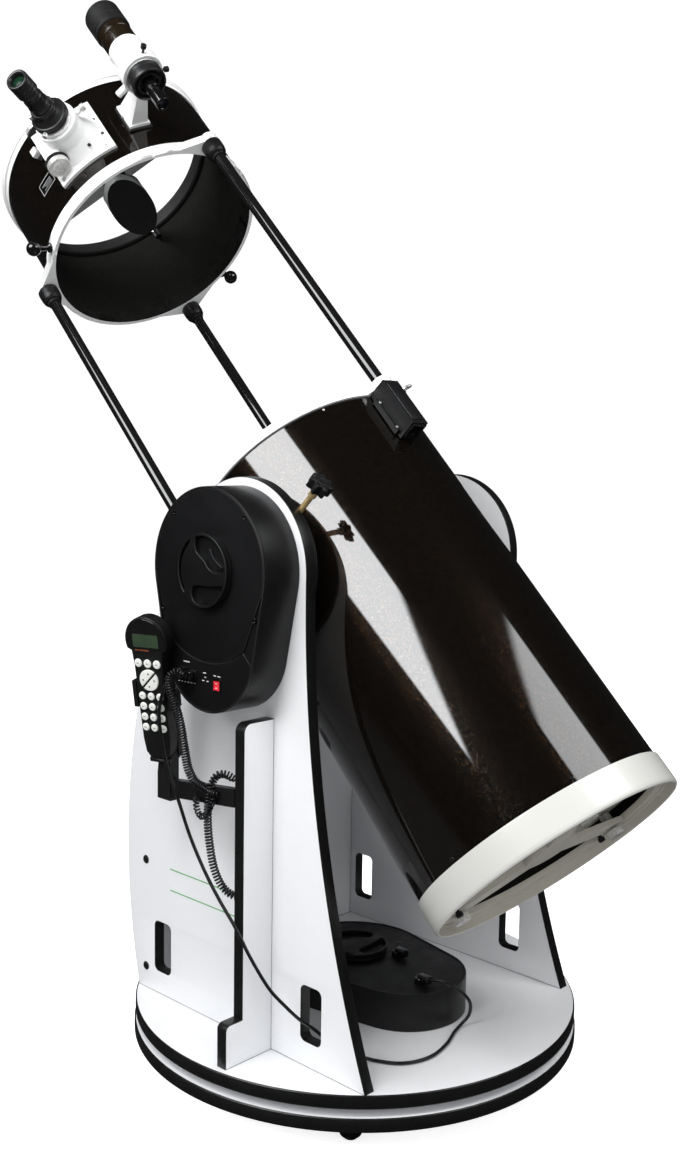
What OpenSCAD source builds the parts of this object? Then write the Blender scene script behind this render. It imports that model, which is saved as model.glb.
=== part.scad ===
// Collapsible truss-tube Dobsonian telescope, 12 inch class, on a motorised rocker box.
// Frame: origin on the floor under the azimuth axis, +Z up, +Y the way the tube points,
// +X to the right of an observer standing behind the telescope. Millimetres.
// Names ending in _r are radii, _t thicknesses, _h heights, _s places along the tube
// from the altitude axis, _phi directions round the tube.

/* [Pose] */
// Altitude of the optical tube as modelled, degrees above the horizon
alt_deg = 46; // [40:1:50]

/* [Base] */
// Radius of the rotating round board
turn_r = 323; // [322:1:326]
// Radius of the fixed ground board
ground_r = 324.5; // [324:0.5:328]
// Thickness of the two round boards
round_t = 18.5; // [18:0.5:18.5]
// Height of the moulded feet
foot_h = 39; // [36:1:42]
// Radius of the circle the feet sit on
foot_circle_r = 265; // [250:5:280]
// Gap between the round boards, filled by the roller ring
board_gap = 11; // [11:1:11]

/* [Side boards] */
// Thickness of the side boards
side_t = 17; // [16:1:17]
// Outer face of the drive side board, from the centre line
near_x = 228; // [228:1:228]
// Outer face of the plain side board, from the centre line
far_x = 220; // [220:1:221]
// Height of the altitude axis above the rotating board
axis_h = 638; // [636:1:640]
// Radius of the rounded board tops
top_r = 118.5; // [117:0.5:119]
// Height of the front cross board
front_h = 330; // [280:10:360]
// Reach of the outer stiffening fin from the drive side board
fin_reach = 52; // [52:1:52]

/* [Optical tube] */
// Outer radius of the lower tube
tube_r = 179; // [179:1:179]
// Wall thickness of the rolled steel tubes
tube_wall = 1.2; // [1:0.1:1.5]
// Rear end of the tube below the altitude axis
tube_rear = 506; // [504:1:508]
// Height of the white rear ring along the tube
rear_ring_w = 43; // [40:1:45]
// Upper end of the lower tube ring above the altitude axis
tube_front = 158; // [157:1:158]
// Radius of the primary mirror
mirror_r = 152.4; // [150:0.1:152.4]

/* [Truss and cage] */
// Rear end of the upper cage above the altitude axis
cage_rear = 681; // [680:1:682]
// Front end of the upper cage above the altitude axis
cage_front = 885; // [880:1:888]
// Radius of the three truss rods
rod_r = 9; // [9:0.5:9]
// Radius of the circle the truss rods stand on
rod_circle_r = 195.5; // [195:0.5:196]

/* [Focuser and finder] */
// Position of the focuser along the tube
focuser_s = 778; // [776:1:780]
// Direction of the focuser round the tube, degrees from +X towards the sky side
focuser_phi = 150; // [148:1:152]
// Direction of the finder round the tube
finder_phi = 118; // [117:1:119]
// Distance of the finder axis from the tube axis
finder_off = 282; // [281:1:284]

/* [Drives] */
// Radius of the round end of the drive housings
drive_r = 107; // [106:0.5:107]
// Radius of the small end of the drive housings
lobe_r = 87.5; // [87:0.5:88]
// Distance between the two ends' centres
lobe_d = 97.5; // [97:0.5:98]
// Depth of the altitude drive housing
alt_depth = 61; // [60:1:62]
// Height of the azimuth drive housing
az_depth = 54; // [54:1:56]
// Teeth on each worm wheel
wheel_teeth = 60; // [48:12:72]

/* [Hidden] */
$fn = 64;

ground_z = foot_h + round_t;      // ground board top
turn_z = ground_z + board_gap;    // rotating board underside
deck_z = turn_z + round_t;        // rotating board top
axis_y = 3;                       // altitude axis
axis_z = deck_z + axis_h;
near_inner = near_x - side_t;     // inner faces of the side boards, from the centre line
far_inner = far_x - side_t;
post_r = 14;                      // azimuth post
shaft_r = 12;                     // altitude shaft
rod_angles = [90, 220, 320];      // directions of the truss rods
tube_inner_r = tube_r - tube_wall;
cage_r = tube_r + 2;              // outside of the cage tube
cage_inner_r = cage_r - tube_wall;

// ---------- frames and helpers ----------
// Tube frame: x across, y down, z along the tube to the sky, origin on the altitude axis
module tube_frame() {
  translate([0, axis_y, axis_z]) rotate([alt_deg - 90, 0, 0]) children();
}
// Round the tube: +x becomes the outward direction at angle phi
module at_phi(phi) { rotate([0, 0, -phi]) children(); }
module at_rods() { for (phi = rod_angles) at_phi(phi) children(); }
// Altitude drive frame: x to the rear, y up, z outwards from the drive side board
module altitude_frame() {
  translate([-near_x, axis_y, axis_z]) rotate([90, 0, -90]) children();
}
// Azimuth drive frame: z up from the rotating board
module azimuth_frame() { translate([0, 0, deck_z]) children(); }
// Copies turned about z, each moved out by distance
module around(angles, distance) {
  for (a = angles) rotate([0, 0, a]) translate([distance, 0, 0]) children();
}
// Starts at x and turns z to point along +x
module along_x(x = 0) { translate([x, 0, 0]) rotate([0, 90, 0]) children(); }
// Profile drawn in (y, z), extruded along +x from x0
module side(x0, t) {
  translate([x0, 0, 0]) rotate([90, 0, 90]) linear_extrude(height = t) children();
}
module ring(outer, inner, h) {
  difference() {
    cylinder(r = outer, h = h, $fn = 128);
    translate([0, 0, -1]) cylinder(r = inner, h = h + 2, $fn = 128);
  }
}
module rounded_rect(w, h, r) {
  square([w - 2 * r, h], center = true);
  square([w, h - 2 * r], center = true);
  for (i = [-1, 1], j = [-1, 1])
    translate([i * (w / 2 - r), j * (h / 2 - r)]) circle(r = r, $fn = 32);
}
// Space taken by the lower tube, for parts that saddle on it
module tube_space() {
  translate([0, 0, -200]) cylinder(r = tube_r + 0.08, h = 400, $fn = 180);
}

// ---------- ground board and bearing ----------
module round_board(r, z, bore_r) {
  difference() {
    translate([0, 0, z]) cylinder(r = r, h = round_t, $fn = 180);
    translate([0, 0, z - 1]) cylinder(r = bore_r, h = round_t + 2);
  }
}
module ground_board() { color("white") round_board(ground_r, foot_h, post_r + 0.05); }
module feet() {
  color([0.06, 0.06, 0.06]) around([222, 342, 102], foot_circle_r)
    rotate_extrude($fn = 64)
      polygon([[0, 0], [9, 0], [9, 3], [12, 3.6], [14, 7], [17.5, 18], [19, 24],
        [19, foot_h - 0.01], [0, foot_h - 0.01]]);
}
module azimuth_post() {
  color("silver") {
    translate([0, 0, foot_h]) cylinder(r = post_r, h = deck_z + 40 - foot_h);
    // flange on the ground board
    translate([0, 0, ground_z]) difference() {
      cylinder(r = 45, h = 4);
      translate([0, 0, -1]) cylinder(r = post_r - 0.1, h = 6);
    }
  }
}
module roller_ring() {
  roller_angles = [0:20:340];
  roller_start = 228;   // inner end of each roller
  roller_length = 22;
  color("ivory") translate([0, 0, ground_z + board_gap / 2]) {
    difference() {
      translate([0, 0, -3]) ring(256, 222, 6);
      around(roller_angles, roller_start + roller_length / 2)
        cube([roller_length + 0.6, 12.4, 20], center = true);
    }
    around(roller_angles, roller_start) along_x() cylinder(r = 5.45, h = roller_length);
  }
}

// ---------- rocker box ----------
front_y = 199;                    // rear face of the front board
front_t = 17;
screw_y = front_y + front_t / 2;
screw_heights = [33, 194];        // above the rotating board

module turntable() { color("white") round_board(turn_r, turn_z, post_r + 0.07); }
// Side board outline in (y, z): round top, bowed front edge, flared rear edge
module side_profile() {
  bow_y = -629;                   // centre of the front edge's arc
  bow_z = deck_z + 213;
  rise_y = axis_y - bow_y;
  rise_z = axis_z - bow_z;
  bow_r = sqrt(rise_y * rise_y + rise_z * rise_z) + top_r;
  flare_r = 1715;                 // rear edge's arc
  flare_z = axis_z - 25;
  rear_y = axis_y - top_r;
  back_y = -260;                  // limits of the outline
  ahead_y = 320;
  translate([axis_y, axis_z]) circle(r = top_r, $fn = 128);
  difference() {
    intersection() {
      translate([bow_y, bow_z]) circle(r = bow_r, $fn = 256);
      polygon([[back_y, deck_z], [ahead_y, deck_z],
        [ahead_y, axis_z + (ahead_y - axis_y) * rise_z / rise_y], [axis_y, axis_z],
        [rear_y, axis_z], [rear_y, flare_z], [back_y, flare_z]]);
    }
    translate([rear_y - flare_r, flare_z]) circle(r = flare_r, $fn = 256);
  }
}
module side_board(x0, bore_r, bore_sides) {
  side(x0, side_t) difference() {
    side_profile();
    for (y = [169, -133]) translate([y, deck_z + 71]) rounded_rect(36, 74, 8);
    translate([axis_y, axis_z]) circle(r = bore_r, $fn = bore_sides);
    for (z = screw_heights) translate([screw_y, deck_z + z]) circle(r = 4, $fn = 32);
  }
}
module near_side_board() { color("white") side_board(-near_x, shaft_r + 0.06, 64); }
module far_side_board() { color("white") side_board(far_inner, trunnion_r + 0.08, 96); }
module front_board() {
  screw_depth = 39;
  color("white") difference() {
    translate([-near_inner, front_y, deck_z])
      cube([near_inner + far_inner, front_t, front_h]);
    translate([0, front_y - 9, deck_z + front_h - 45]) rotate([-90, 0, 0])
      linear_extrude(height = 40) rounded_rect(110, 36, 16);
    for (x = [-near_inner - 1, far_inner - screw_depth], z = screw_heights)
      translate([x, screw_y, deck_z + z]) along_x()
        cylinder(r = 3.2, h = screw_depth + 1, $fn = 32);
  }
}
// Upright fin outside the drive side board, with a wider foot
module side_fin() {
  fin_round = 12;       // top corner
  fin_round_z = 435;
  foot_round = 8;       // foot corner
  foot_round_z = 50;
  foot_w = 60;
  fin_x = -near_x - fin_reach;
  foot_x = -near_x - 80;
  color("white") translate([0, -43, deck_z]) rotate([90, 0, 0])
    linear_extrude(height = side_t) {
      translate([fin_x, 0]) square([fin_reach, fin_round_z + 1]);
      translate([fin_x + fin_round, 0])
        square([fin_reach - fin_round, fin_round_z + fin_round]);
      translate([fin_x + fin_round, fin_round_z]) circle(r = fin_round, $fn = 32);
      translate([foot_x, 0]) square([foot_w, foot_round_z]);
      translate([foot_x + foot_round, 0]) square([foot_w, foot_round_z + foot_round]);
      translate([foot_x + foot_round, foot_round_z]) circle(r = foot_round, $fn = 32);
    }
}
module screw_caps() {
  // each face: x, turn that points z outwards
  color([0.05, 0.05, 0.05]) for (face = [[-near_x, -90], [far_x, 90]], z = screw_heights)
    translate([face[0], screw_y, deck_z + z]) rotate([0, face[1], 0]) {
      cylinder(r = 6, h = 2);
      translate([0, 0, -47]) cylinder(r = 3, h = 47.5, $fn = 32);
    }
}

// ---------- drives ----------
wheel_r = 70;
worm_r = 8.7;
worm_offset = wheel_r + worm_r + 0.4;   // wheel to worm centre distance
az_wheel_z = 14;                        // wheel mid planes in the drive frames
alt_wheel_z = az_wheel_z + 4;
hub_hole_r = 20;                        // housing hole round the grip's hub
cover_t = 5;
cover_z = alt_depth - cover_t;          // underside of the altitude cover
switch_x = 19;                          // power switch
switch_y = -146;

// Outline of a drive housing, drawn in inwards by inset; the small end lies towards -y
module egg(inset = 0) {
  start = asin((lobe_r - drive_r) / lobe_d);
  big_r = drive_r - inset;
  small_r = lobe_r - inset;
  polygon(concat(
    [for (i = [0:72]) let(a = start + i * (180 - 2 * start) / 72)
      [big_r * cos(a), big_r * sin(a)]],
    [for (i = [0:48]) let(a = 180 - start + i * (180 + 2 * start) / 48)
      [small_r * cos(a), small_r * sin(a) - lobe_d]]));
}
module housing(h) {
  wall = 3;
  difference() {
    linear_extrude(height = h) egg();
    translate([0, 0, -1]) linear_extrude(height = h - 2) egg(wall);
    translate([0, 0, -5]) cylinder(r = hub_hole_r, h = h + 10);
  }
}
// Spoked wheel centred on its mid plane
module worm_wheel(bore_r) {
  rim_h = 12;
  root_r = wheel_r - 4;
  difference() {
    union() {
      cylinder(r = wheel_r - 2.2, h = rim_h, center = true, $fn = 128);
      for (i = [0:wheel_teeth - 1])
        rotate([0, 0, i * 360 / wheel_teeth + 180 / wheel_teeth])
          linear_extrude(height = rim_h, center = true)
            polygon([[root_r, -2], [root_r, 2], [wheel_r, 0.9], [wheel_r, -0.9]]);
      cylinder(r = 24, h = 20, center = true);
    }
    around([0:60:300], 45) cylinder(r = 13, h = 30, center = true);
    cylinder(r = bore_r, h = 40, center = true);
  }
}
// Worm along x, its thread as separate ridges
module worm() {
  core_r = 5;
  pitch = 3.5;
  along_x() rotate_extrude($fn = 64) {
    translate([0, -24]) square([6, 48]);
    for (i = [-5:5])
      polygon([[core_r, i * pitch - 1.5], [worm_r, i * pitch - 0.5],
        [worm_r, i * pitch + 0.5], [core_r, i * pitch + 1.5]]);
  }
}
// Motor on the worm's axis, beyond its +x end
module motor() {
  along_x(24.1) cylinder(r = 11, h = 8);
  along_x(32) cylinder(r = 14, h = 34);
  along_x(65.9) cylinder(r = 6, h = 4);
  translate([30, -19, -10]) cube([16, 14, 20]);
}
// Round hand grip with two finger hollows and a bored hub below
module grip(hub_h, bore_r, bore_h) {
  grip_r = 48;
  grip_t = 9;
  difference() {
    union() {
      cylinder(r = grip_r, h = grip_t, $fn = 96);
      translate([0, 0, -hub_h]) cylinder(r = 18, h = hub_h + 0.5);
    }
    for (a = [0, 180]) rotate([0, 0, a + 35]) translate([0, 0, 3])
      linear_extrude(height = grip_t) difference() {
        circle(r = grip_r - 8, $fn = 96);
        translate([-60, -70]) square([120, 82]);
      }
    translate([0, 0, -hub_h - 1]) cylinder(r = bore_r, h = bore_h);
  }
}

module azimuth_worm_wheel() {
  color("goldenrod") azimuth_frame() translate([0, 0, az_wheel_z]) worm_wheel(post_r + 0.05);
}
module azimuth_housing() {
  color([0.08, 0.08, 0.08]) azimuth_frame() difference() {
    housing(az_depth);
    translate([-20, -135, az_depth - 6]) cylinder(r = 7, h = 12);
  }
}
module azimuth_motor() {
  color("dimgray") azimuth_frame() translate([0, -worm_offset, az_wheel_z]) motor();
}
module azimuth_worm() {
  color("silver") azimuth_frame() translate([0, -worm_offset, az_wheel_z]) worm();
}
module azimuth_grip() {
  color([0.1, 0.1, 0.1]) azimuth_frame() translate([0, 0, az_depth + 0.5])
    grip(24, post_r + 0.08, 13);
}
module altitude_housing() {
  color([0.08, 0.08, 0.08]) altitude_frame() difference() {
    housing(cover_z);
    translate([switch_x, switch_y, cover_z - 7])
      linear_extrude(height = 20) rounded_rect(13, 19, 2);
  }
}
// Lid over the round end
module altitude_cover() {
  color([0.09, 0.09, 0.09]) altitude_frame() translate([0, 0, cover_z])
    linear_extrude(height = cover_t) difference() {
      intersection() {
        egg(1);
        circle(r = 119, $fn = 128);
      }
      circle(r = hub_hole_r);
    }
}
// Lower plate over the small end, with two raised pads
module control_panel() {
  color([0.12, 0.12, 0.12]) altitude_frame() translate([0, 0, cover_z]) {
    linear_extrude(height = 3) difference() {
      egg(1.5);
      circle(r = 120, $fn = 128);
      translate([switch_x, switch_y]) rounded_rect(13, 19, 2);
      translate([-24, switch_y]) circle(r = 5.5, $fn = 32);
    }
    translate([-48, -138, 2.9]) linear_extrude(height = 3.5) rounded_rect(15, 13, 2);
    translate([-5, -141, 2.9]) linear_extrude(height = 2) rounded_rect(12, 10, 1.5);
  }
}
module power_switch() {
  color("red") altitude_frame() translate([switch_x, switch_y, cover_z + 2]) {
    along_x(-5.5) linear_extrude(height = 11)
      polygon([[-3.4, -7.5], [-2, 0], [-3.4, 7.5], [4, 5.5], [4, -5.5]]);
    along_x(-6.2) cylinder(r = 1.5, h = 12.4, $fn = 32);
  }
}
module altitude_motor() {
  color("dimgray") altitude_frame() translate([0, -worm_offset, alt_wheel_z]) motor();
}
module altitude_worm() {
  color("silver") altitude_frame() translate([0, -worm_offset, alt_wheel_z]) worm();
}
module altitude_worm_wheel() {
  color("goldenrod") tube_frame() at_phi(180) along_x(near_x + alt_wheel_z)
    worm_wheel(shaft_r + 0.05);
}
module altitude_grip() {
  color([0.1, 0.1, 0.1]) altitude_frame() translate([0, 0, alt_depth + 0.5])
    grip(22, shaft_r + 0.08, 14);
}

// ---------- altitude bearings ----------
saddle_r = 62;          // round saddles against the tube
trunnion_r = 30;        // pin through the far side board
flange_x = -209;        // outer face of the flange
flange_t = 14;
shaft_end_x = -196;     // inner end of the shaft
lock_r = 4;             // stem of the lock knob

module altitude_shaft() {
  outer_end = near_x + 52;
  color("silver") tube_frame() along_x(-outer_end)
    cylinder(r = shaft_r, h = outer_end + shaft_end_x);
}
// Lock knob axis in the tube frame: z towards the sky side, in the flange's mid plane
module lock_frame() {
  translate([flange_x + flange_t / 2, 0, 0]) rotate([90, 0, 0]) children();
}
module altitude_flange() {
  color([0.07, 0.07, 0.07]) tube_frame() difference() {
    union() {
      along_x(flange_x) cylinder(r = 106, h = flange_t, $fn = 128);
      along_x(flange_x + flange_t - 0.01) cylinder(r = saddle_r, h = 30, $fn = 96);
    }
    tube_space();
    along_x(-240) cylinder(r = shaft_r + 0.05, h = 44.1);
    lock_frame() translate([0, 0, 82]) cylinder(r = lock_r + 0.05, h = 40, $fn = 32);
  }
}
module lock_knob() {
  color([0.06, 0.06, 0.06]) tube_frame() lock_frame() {
    translate([0, 0, 90]) cylinder(r = lock_r, h = 62, $fn = 32);
    translate([0, 0, 151]) rotate([0, 0, 25]) cylinder(r = 13.5, h = 15);
    for (i = [0:6]) rotate([0, 0, i * 360 / 7])
      translate([12.6, 0, 151.5]) cylinder(r = 4.4, h = 14, $fn = 32);
  }
}
module far_trunnion() {
  saddle_x = 160;
  color([0.07, 0.07, 0.07]) tube_frame() {
    difference() {
      along_x(saddle_x) cylinder(r = saddle_r, h = far_inner - 3 - saddle_x, $fn = 96);
      tube_space();
    }
    along_x(far_inner - 4) cylinder(r = trunnion_r, h = side_t + 5, $fn = 96);
    along_x(far_x + 1) cylinder(r = 38, h = 7, $fn = 96);
  }
}

// ---------- handset ----------
// Handset frame: origin at the centre of the direction pad on the front face, x right, y up
// along the handset, z out of the face; leaning back and turned towards the observer
module handset_frame() {
  translate([-313, 90, 573.7]) rotate([0, 0, 16.5]) rotate([0, -10.4, 0])
    rotate([90, 0, -90]) children();
}
// Right edge below the round head, from the top: x, y
handset_edge = [[24.5, 39], [22.5, 17], [21.5, -84], [19, -104], [12, -112.5]];
// Rows of three keys: y, pitch across, key radius
key_rows = concat([[22.9, 14.7, 5.7]], [for (i = [0:3]) [-23 - 14.9 * i, 13.9, 5.2]]);

module handset_outline() {
  head_r = 33.1;
  head_y = 53.7;
  polygon(concat(
    [for (i = [0:74]) [head_r * cos(i * 3 - 21), head_y + head_r * sin(i * 3 - 21)]],
    [for (p = handset_edge) [-p[0], p[1]]],
    [for (i = [4:-1:0]) handset_edge[i]]));
}
module key_layout(grow = 0) {
  for (row = key_rows, i = [-1:1])
    translate([i * row[1], row[0]]) circle(r = row[2] + grow, $fn = 32);
}
// Four quarters parted by a diagonal cross
module pad_layout() {
  difference() {
    circle(r = 14.6, $fn = 64);
    rotate([0, 0, 45]) square([40, 2.4], center = true);
  }
}
module handset_shell() {
  shell_t = 20;
  color([0.05, 0.05, 0.05]) handset_frame() difference() {
    translate([0, 0, -shell_t]) linear_extrude(height = shell_t) handset_outline();
    translate([0, 0, -4]) linear_extrude(height = 5) {
      circle(r = 15, $fn = 64);
      key_layout(0.3);
    }
    // shallow window recess
    translate([0, 54.3, -1]) linear_extrude(height = 2) square([40, 18], center = true);
  }
}
module handset_keys() {
  color("whitesmoke") handset_frame() translate([0, 0, -2.4])
    linear_extrude(height = 4) key_layout();
}
module direction_pad() {
  color("whitesmoke") handset_frame() {
    translate([0, 0, -1.4]) linear_extrude(height = 3) pad_layout();
    translate([0, 0, -2.5]) cylinder(r = 13.8, h = 1.2);
  }
}
module handset_holder() {
  bar_y = [-43, 108];   // ends of the sloping bar
  bar_z = [deck_z + 336, deck_z + 321];
  bar_w = 24;
  color([0.05, 0.05, 0.05]) {
    handset_frame() {
      translate([0, -60.5, -28.5]) linear_extrude(height = 8) rounded_rect(41, 113, 5);
      // side jaws: x of the floor, x of the wall, length
      for (jaw = [[-30, -30, 37], [15, 23.6, 27]]) {
        translate([jaw[0], -41, -24.5]) cube([15, jaw[2], 4]);
        translate([jaw[1], -41, -24.4]) cube([6.4, jaw[2], 23.4]);
      }
      translate([-16, -119, -28]) cube([32, 5.8, 25]);
      translate([-25, -106, -27]) cube([8, 14, 5]);
    }
    // block behind the handset, cut clear of its shell
    difference() {
      side(-283, 15) polygon([[84, 405], [111, 405], [111, 440], [105, 485], [84, 485]]);
      handset_frame() translate([0, 0, -20.4])
        linear_extrude(height = 40) offset(delta = 0.4) handset_outline();
    }
    side(-281, 11) polygon([[bar_y[0], bar_z[0]], [bar_y[1], bar_z[1]],
      [bar_y[1], bar_z[1] + bar_w], [bar_y[0], bar_z[0] + bar_w]]);
  }
}

// ---------- optical tube ----------
seat_r = tube_inner_r - 0.06;     // rings' fit inside the lower tube
lip_w = 12;                       // outer lip of the lower top ring
lug_r = 15.5;                     // round lugs on the rings at the rods
knob_s = tube_front - 18;         // clamp knobs' axis
bolt_angles = [0, 120, 240];      // collimation bolts
bolt_circle_r = 146;
bolt_r = 3;
frame_s = -492;                   // undersides of the cell's fixed frame and tilting plate
plate_s = -470;
cell_t = 8;
mirror_s = plate_s + cell_t + 0.1;

module lower_tube() {
  color([0.06, 0.05, 0.05]) tube_frame() difference() {
    translate([0, 0, -tube_rear + rear_ring_w])
      cylinder(r = tube_r, h = tube_rear - rear_ring_w + tube_front - lip_w, $fn = 180);
    translate([0, 0, -tube_rear]) cylinder(r = tube_inner_r, h = 1000, $fn = 180);
  }
}
module lower_top_ring() {
  lip_s = tube_front - lip_w;
  color("white") tube_frame() difference() {
    union() {
      rotate_extrude($fn = 180)
        polygon([[171, lip_s - 10], [seat_r, lip_s - 10], [seat_r, lip_s],
          [tube_r + 3.5, lip_s], [tube_r + 3.5, tube_front], [171, tube_front]]);
      at_rods() translate([0, 0, lip_s + 0.5]) linear_extrude(height = 11) {
        translate([rod_circle_r, 0]) rotate([0, 0, 20]) circle(r = lug_r, $fn = 48);
        polygon([[176, -26], [rod_circle_r, -11], [rod_circle_r, 11], [176, 26]]);
      }
    }
    at_rods() translate([rod_circle_r, 0, tube_front - 20])
      cylinder(r = rod_r + 0.3, h = 30);
  }
}
module rear_ring() {
  color("white") tube_frame() translate([0, 0, -tube_rear]) rotate_extrude($fn = 180)
    polygon([[177.2, 0], [tube_r + 0.5, 0], [tube_r + 2.9, 1.5], [tube_r + 3.5, 4],
      [tube_r + 3.5, rear_ring_w], [seat_r, rear_ring_w], [seat_r, rear_ring_w + 14],
      [172, rear_ring_w + 14], [172, 12], [177.2, 12]]);
}
// Fixed three-armed frame with its rim
module cell_frame() {
  difference() {
    union() {
      rotate([0, 0, 10]) cylinder(r = 40, h = cell_t);
      around(bolt_angles, 30) translate([0, -17, 0.5]) cube([130, 34, 7]);
      ring(171.9, 156, cell_t);
    }
    around(bolt_angles, bolt_circle_r)
      translate([0, 0, -1]) cylinder(r = bolt_r + 0.4, h = 10, $fn = 32);
  }
}
// Tilting plate under the mirror, with three edge clips
module cell_plate() {
  difference() {
    union() {
      cylinder(r = 162, h = cell_t, $fn = 128);
      around([60, 180, 300], 0) translate([0, -12, 0]) difference() {
        cube([161, 24, 53]);
        translate([-1, -1, cell_t - 0.1]) cube([151, 26, 60]);
      }
    }
    around(bolt_angles, bolt_circle_r)
      translate([0, 0, -1]) cylinder(r = bolt_r + 0.2, h = 10, $fn = 32);
    around([0:60:300], 70) translate([0, 0, -1]) cylinder(r = 18, h = 10);
    translate([0, 0, cell_t]) cylinder(r = mirror_r + 0.1, h = 42, $fn = 180);
  }
}
module mirror_cell() {
  color([0.2, 0.2, 0.2]) tube_frame() {
    translate([0, 0, frame_s]) cell_frame();
    translate([0, 0, plate_s]) cell_plate();
  }
}
module primary_mirror() {
  curve_r = 3000;
  curve_s = -424.3;     // deepest point of the hollow face
  color("lightcyan") tube_frame() difference() {
    translate([0, 0, mirror_s]) cylinder(r = mirror_r, h = 40, $fn = 180);
    translate([0, 0, curve_s + curve_r]) sphere(r = curve_r, $fn = 400);
  }
}
// Each spring is a stack of separate coils
module collimation_springs() {
  wire_r = 1.3;
  color("silver") tube_frame() translate([0, 0, frame_s + cell_t])
    around(bolt_angles, bolt_circle_r) rotate_extrude($fn = 48)
      for (i = [0:5]) translate([7, wire_r + i * 2.28]) circle(r = wire_r, $fn = 24);
}
module collimation_knobs() {
  color([0.1, 0.1, 0.1]) tube_frame() translate([0, 0, frame_s - 13])
    around(bolt_angles, bolt_circle_r) {
      cylinder(r = 12, h = 10.5, $fn = 48);
      cylinder(r = bolt_r, h = 41, $fn = 32);
    }
}
// Clamp knob axis in a rod's frame: z sideways across the rod
module knob_frame() {
  translate([rod_circle_r, 0, knob_s]) rotate([-90, 0, 0]) children();
}
module rod_clamps() {
  color([0.07, 0.07, 0.07]) tube_frame() at_rods() difference() {
    union() {
      translate([180, -16, tube_front - 94]) cube([31, 32, 81.9]);
      translate([180, -21, tube_front - 86]) cube([8, 42, 60]);
    }
    tube_space();
    translate([rod_circle_r, 0, 0]) cylinder(r = rod_r + 0.08, h = 300);
    knob_frame() cylinder(r = 3.55, h = 30, $fn = 32);
  }
}
module clamp_knob(phi) {
  color([0.1, 0.1, 0.1]) tube_frame() at_phi(phi) knob_frame() {
    // stem, collar and boss: start, radius, length
    for (part = [[10, 3.5, 22], [16.2, 5.5, 4], [27.2, 6, 8]])
      translate([0, 0, part[0]]) cylinder(r = part[1], h = part[2], $fn = 32);
    translate([-14, -2, 31]) cube([28, 4, 8]);
  }
}
module clamp_knob_1() { clamp_knob(rod_angles[0]); }
module clamp_knob_2() { clamp_knob(rod_angles[1]); }
module clamp_knob_3() { clamp_knob(rod_angles[2]); }

// ---------- truss and cage ----------
cage_seat_r = cage_inner_r - 0.06;    // rings' fit inside the cage tube
rear_rim_w = 18;                      // outer rims of the cage rings
front_rim_w = 14;
cap_bore_r = rod_r + 0.06;
cap_length = 26;

module cage_tube() {
  color([0.06, 0.05, 0.05]) difference() {
    tube_frame() difference() {
      translate([0, 0, cage_rear + rear_rim_w])
        cylinder(r = cage_r, h = cage_front - cage_rear - rear_rim_w - front_rim_w, $fn = 180);
      translate([0, 0, cage_rear]) cylinder(r = cage_inner_r, h = 400, $fn = 180);
    }
    focuser_frame() cylinder(r = 32, h = 250);
  }
}
module cage_front_ring() {
  color("white") tube_frame() translate([0, 0, cage_front]) rotate_extrude($fn = 180)
    polygon([[173, -24], [cage_seat_r, -24], [cage_seat_r, -front_rim_w],
      [tube_r + 4, -front_rim_w], [tube_r + 4, -3], [tube_r + 1, 0], [173, 0]]);
}
module cage_rear_ring() {
  lug_x = rod_circle_r + 5;
  color("white") tube_frame() difference() {
    translate([0, 0, cage_rear]) union() {
      rotate_extrude($fn = 180)
        polygon([[175.5, 0], [cage_r, 0], [cage_r + 2.5, 2], [cage_r + 2.5, rear_rim_w],
          [cage_seat_r, rear_rim_w], [cage_seat_r, 28], [175.5, 28]]);
      at_rods() difference() {
        linear_extrude(height = 14) {
          translate([rod_circle_r, 0]) circle(r = lug_r, $fn = 48);
          polygon([[168, -62], [lug_x, -14.6], [lug_x, 14.6], [168, 62]]);
        }
        translate([0, 0, -1]) cylinder(r = 176.5, h = 20, $fn = 180);
      }
    }
    at_rods() translate([rod_circle_r, 0, cage_rear - 5]) cylinder(r = cap_bore_r, h = 17);
  }
}
module truss_rods() {
  color([0.05, 0.05, 0.05]) tube_frame() at_rods()
    translate([rod_circle_r, 0, tube_front - 88])
      cylinder(r = rod_r, h = cage_rear - tube_front + 99);
}
module rod_caps() {
  color([0.1, 0.1, 0.1]) tube_frame() at_rods() translate([rod_circle_r, 0, cage_rear])
    rotate_extrude($fn = 64)
      polygon([[cap_bore_r, -cap_length], [12, -cap_length], [15, -cap_length + 4],
        [16.5, -cap_length + 10], [16.5, -0.02], [cap_bore_r, -0.02]]);
}
module pull_handles() {
  color([0.05, 0.05, 0.05]) tube_frame() for (phi = [194.5, 345.5])
    at_phi(phi) translate([tube_r, 0, cage_rear + 9]) {
      along_x(4.6) cylinder(r = 6.5, h = 3.5);
      along_x(6) cylinder(r = 4.5, h = 22);
      along_x(33) sphere(r = 11.5);
    }
}

// ---------- secondary mirror ----------
module spider() {
  color([0.08, 0.08, 0.08]) tube_frame() translate([0, 0, focuser_s]) {
    difference() {
      translate([0, 0, 49]) cylinder(r = 22, h = 34);
      cylinder(r = 3.6, h = 57);
    }
    // vanes and their end blocks
    for (phi = [57:90:327]) at_phi(phi) {
      translate([20, -0.6, 51]) cube([tube_r - 19.8, 1.2, 30]);
      translate([tube_r - 7.6, -5, 62]) cube([7.9, 10, 14]);
    }
  }
}
module secondary_holder() {
  color([0.1, 0.1, 0.1]) tube_frame() translate([0, 0, focuser_s]) {
    at_phi(focuser_phi) difference() {
      translate([0, 0, -40]) cylinder(r = 34, h = 76, $fn = 96);
      rotate([0, -45, 0]) translate([-100, -100, -200 + 5.1]) cube([200, 200, 200]);
    }
    translate([0, 0, 30]) cylinder(r = 3.5, h = 24, $fn = 32);
    around([0, 120, 240], 13) translate([0, 0, 35.9]) cylinder(r = 2.5, h = 13, $fn = 32);
  }
}
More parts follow.
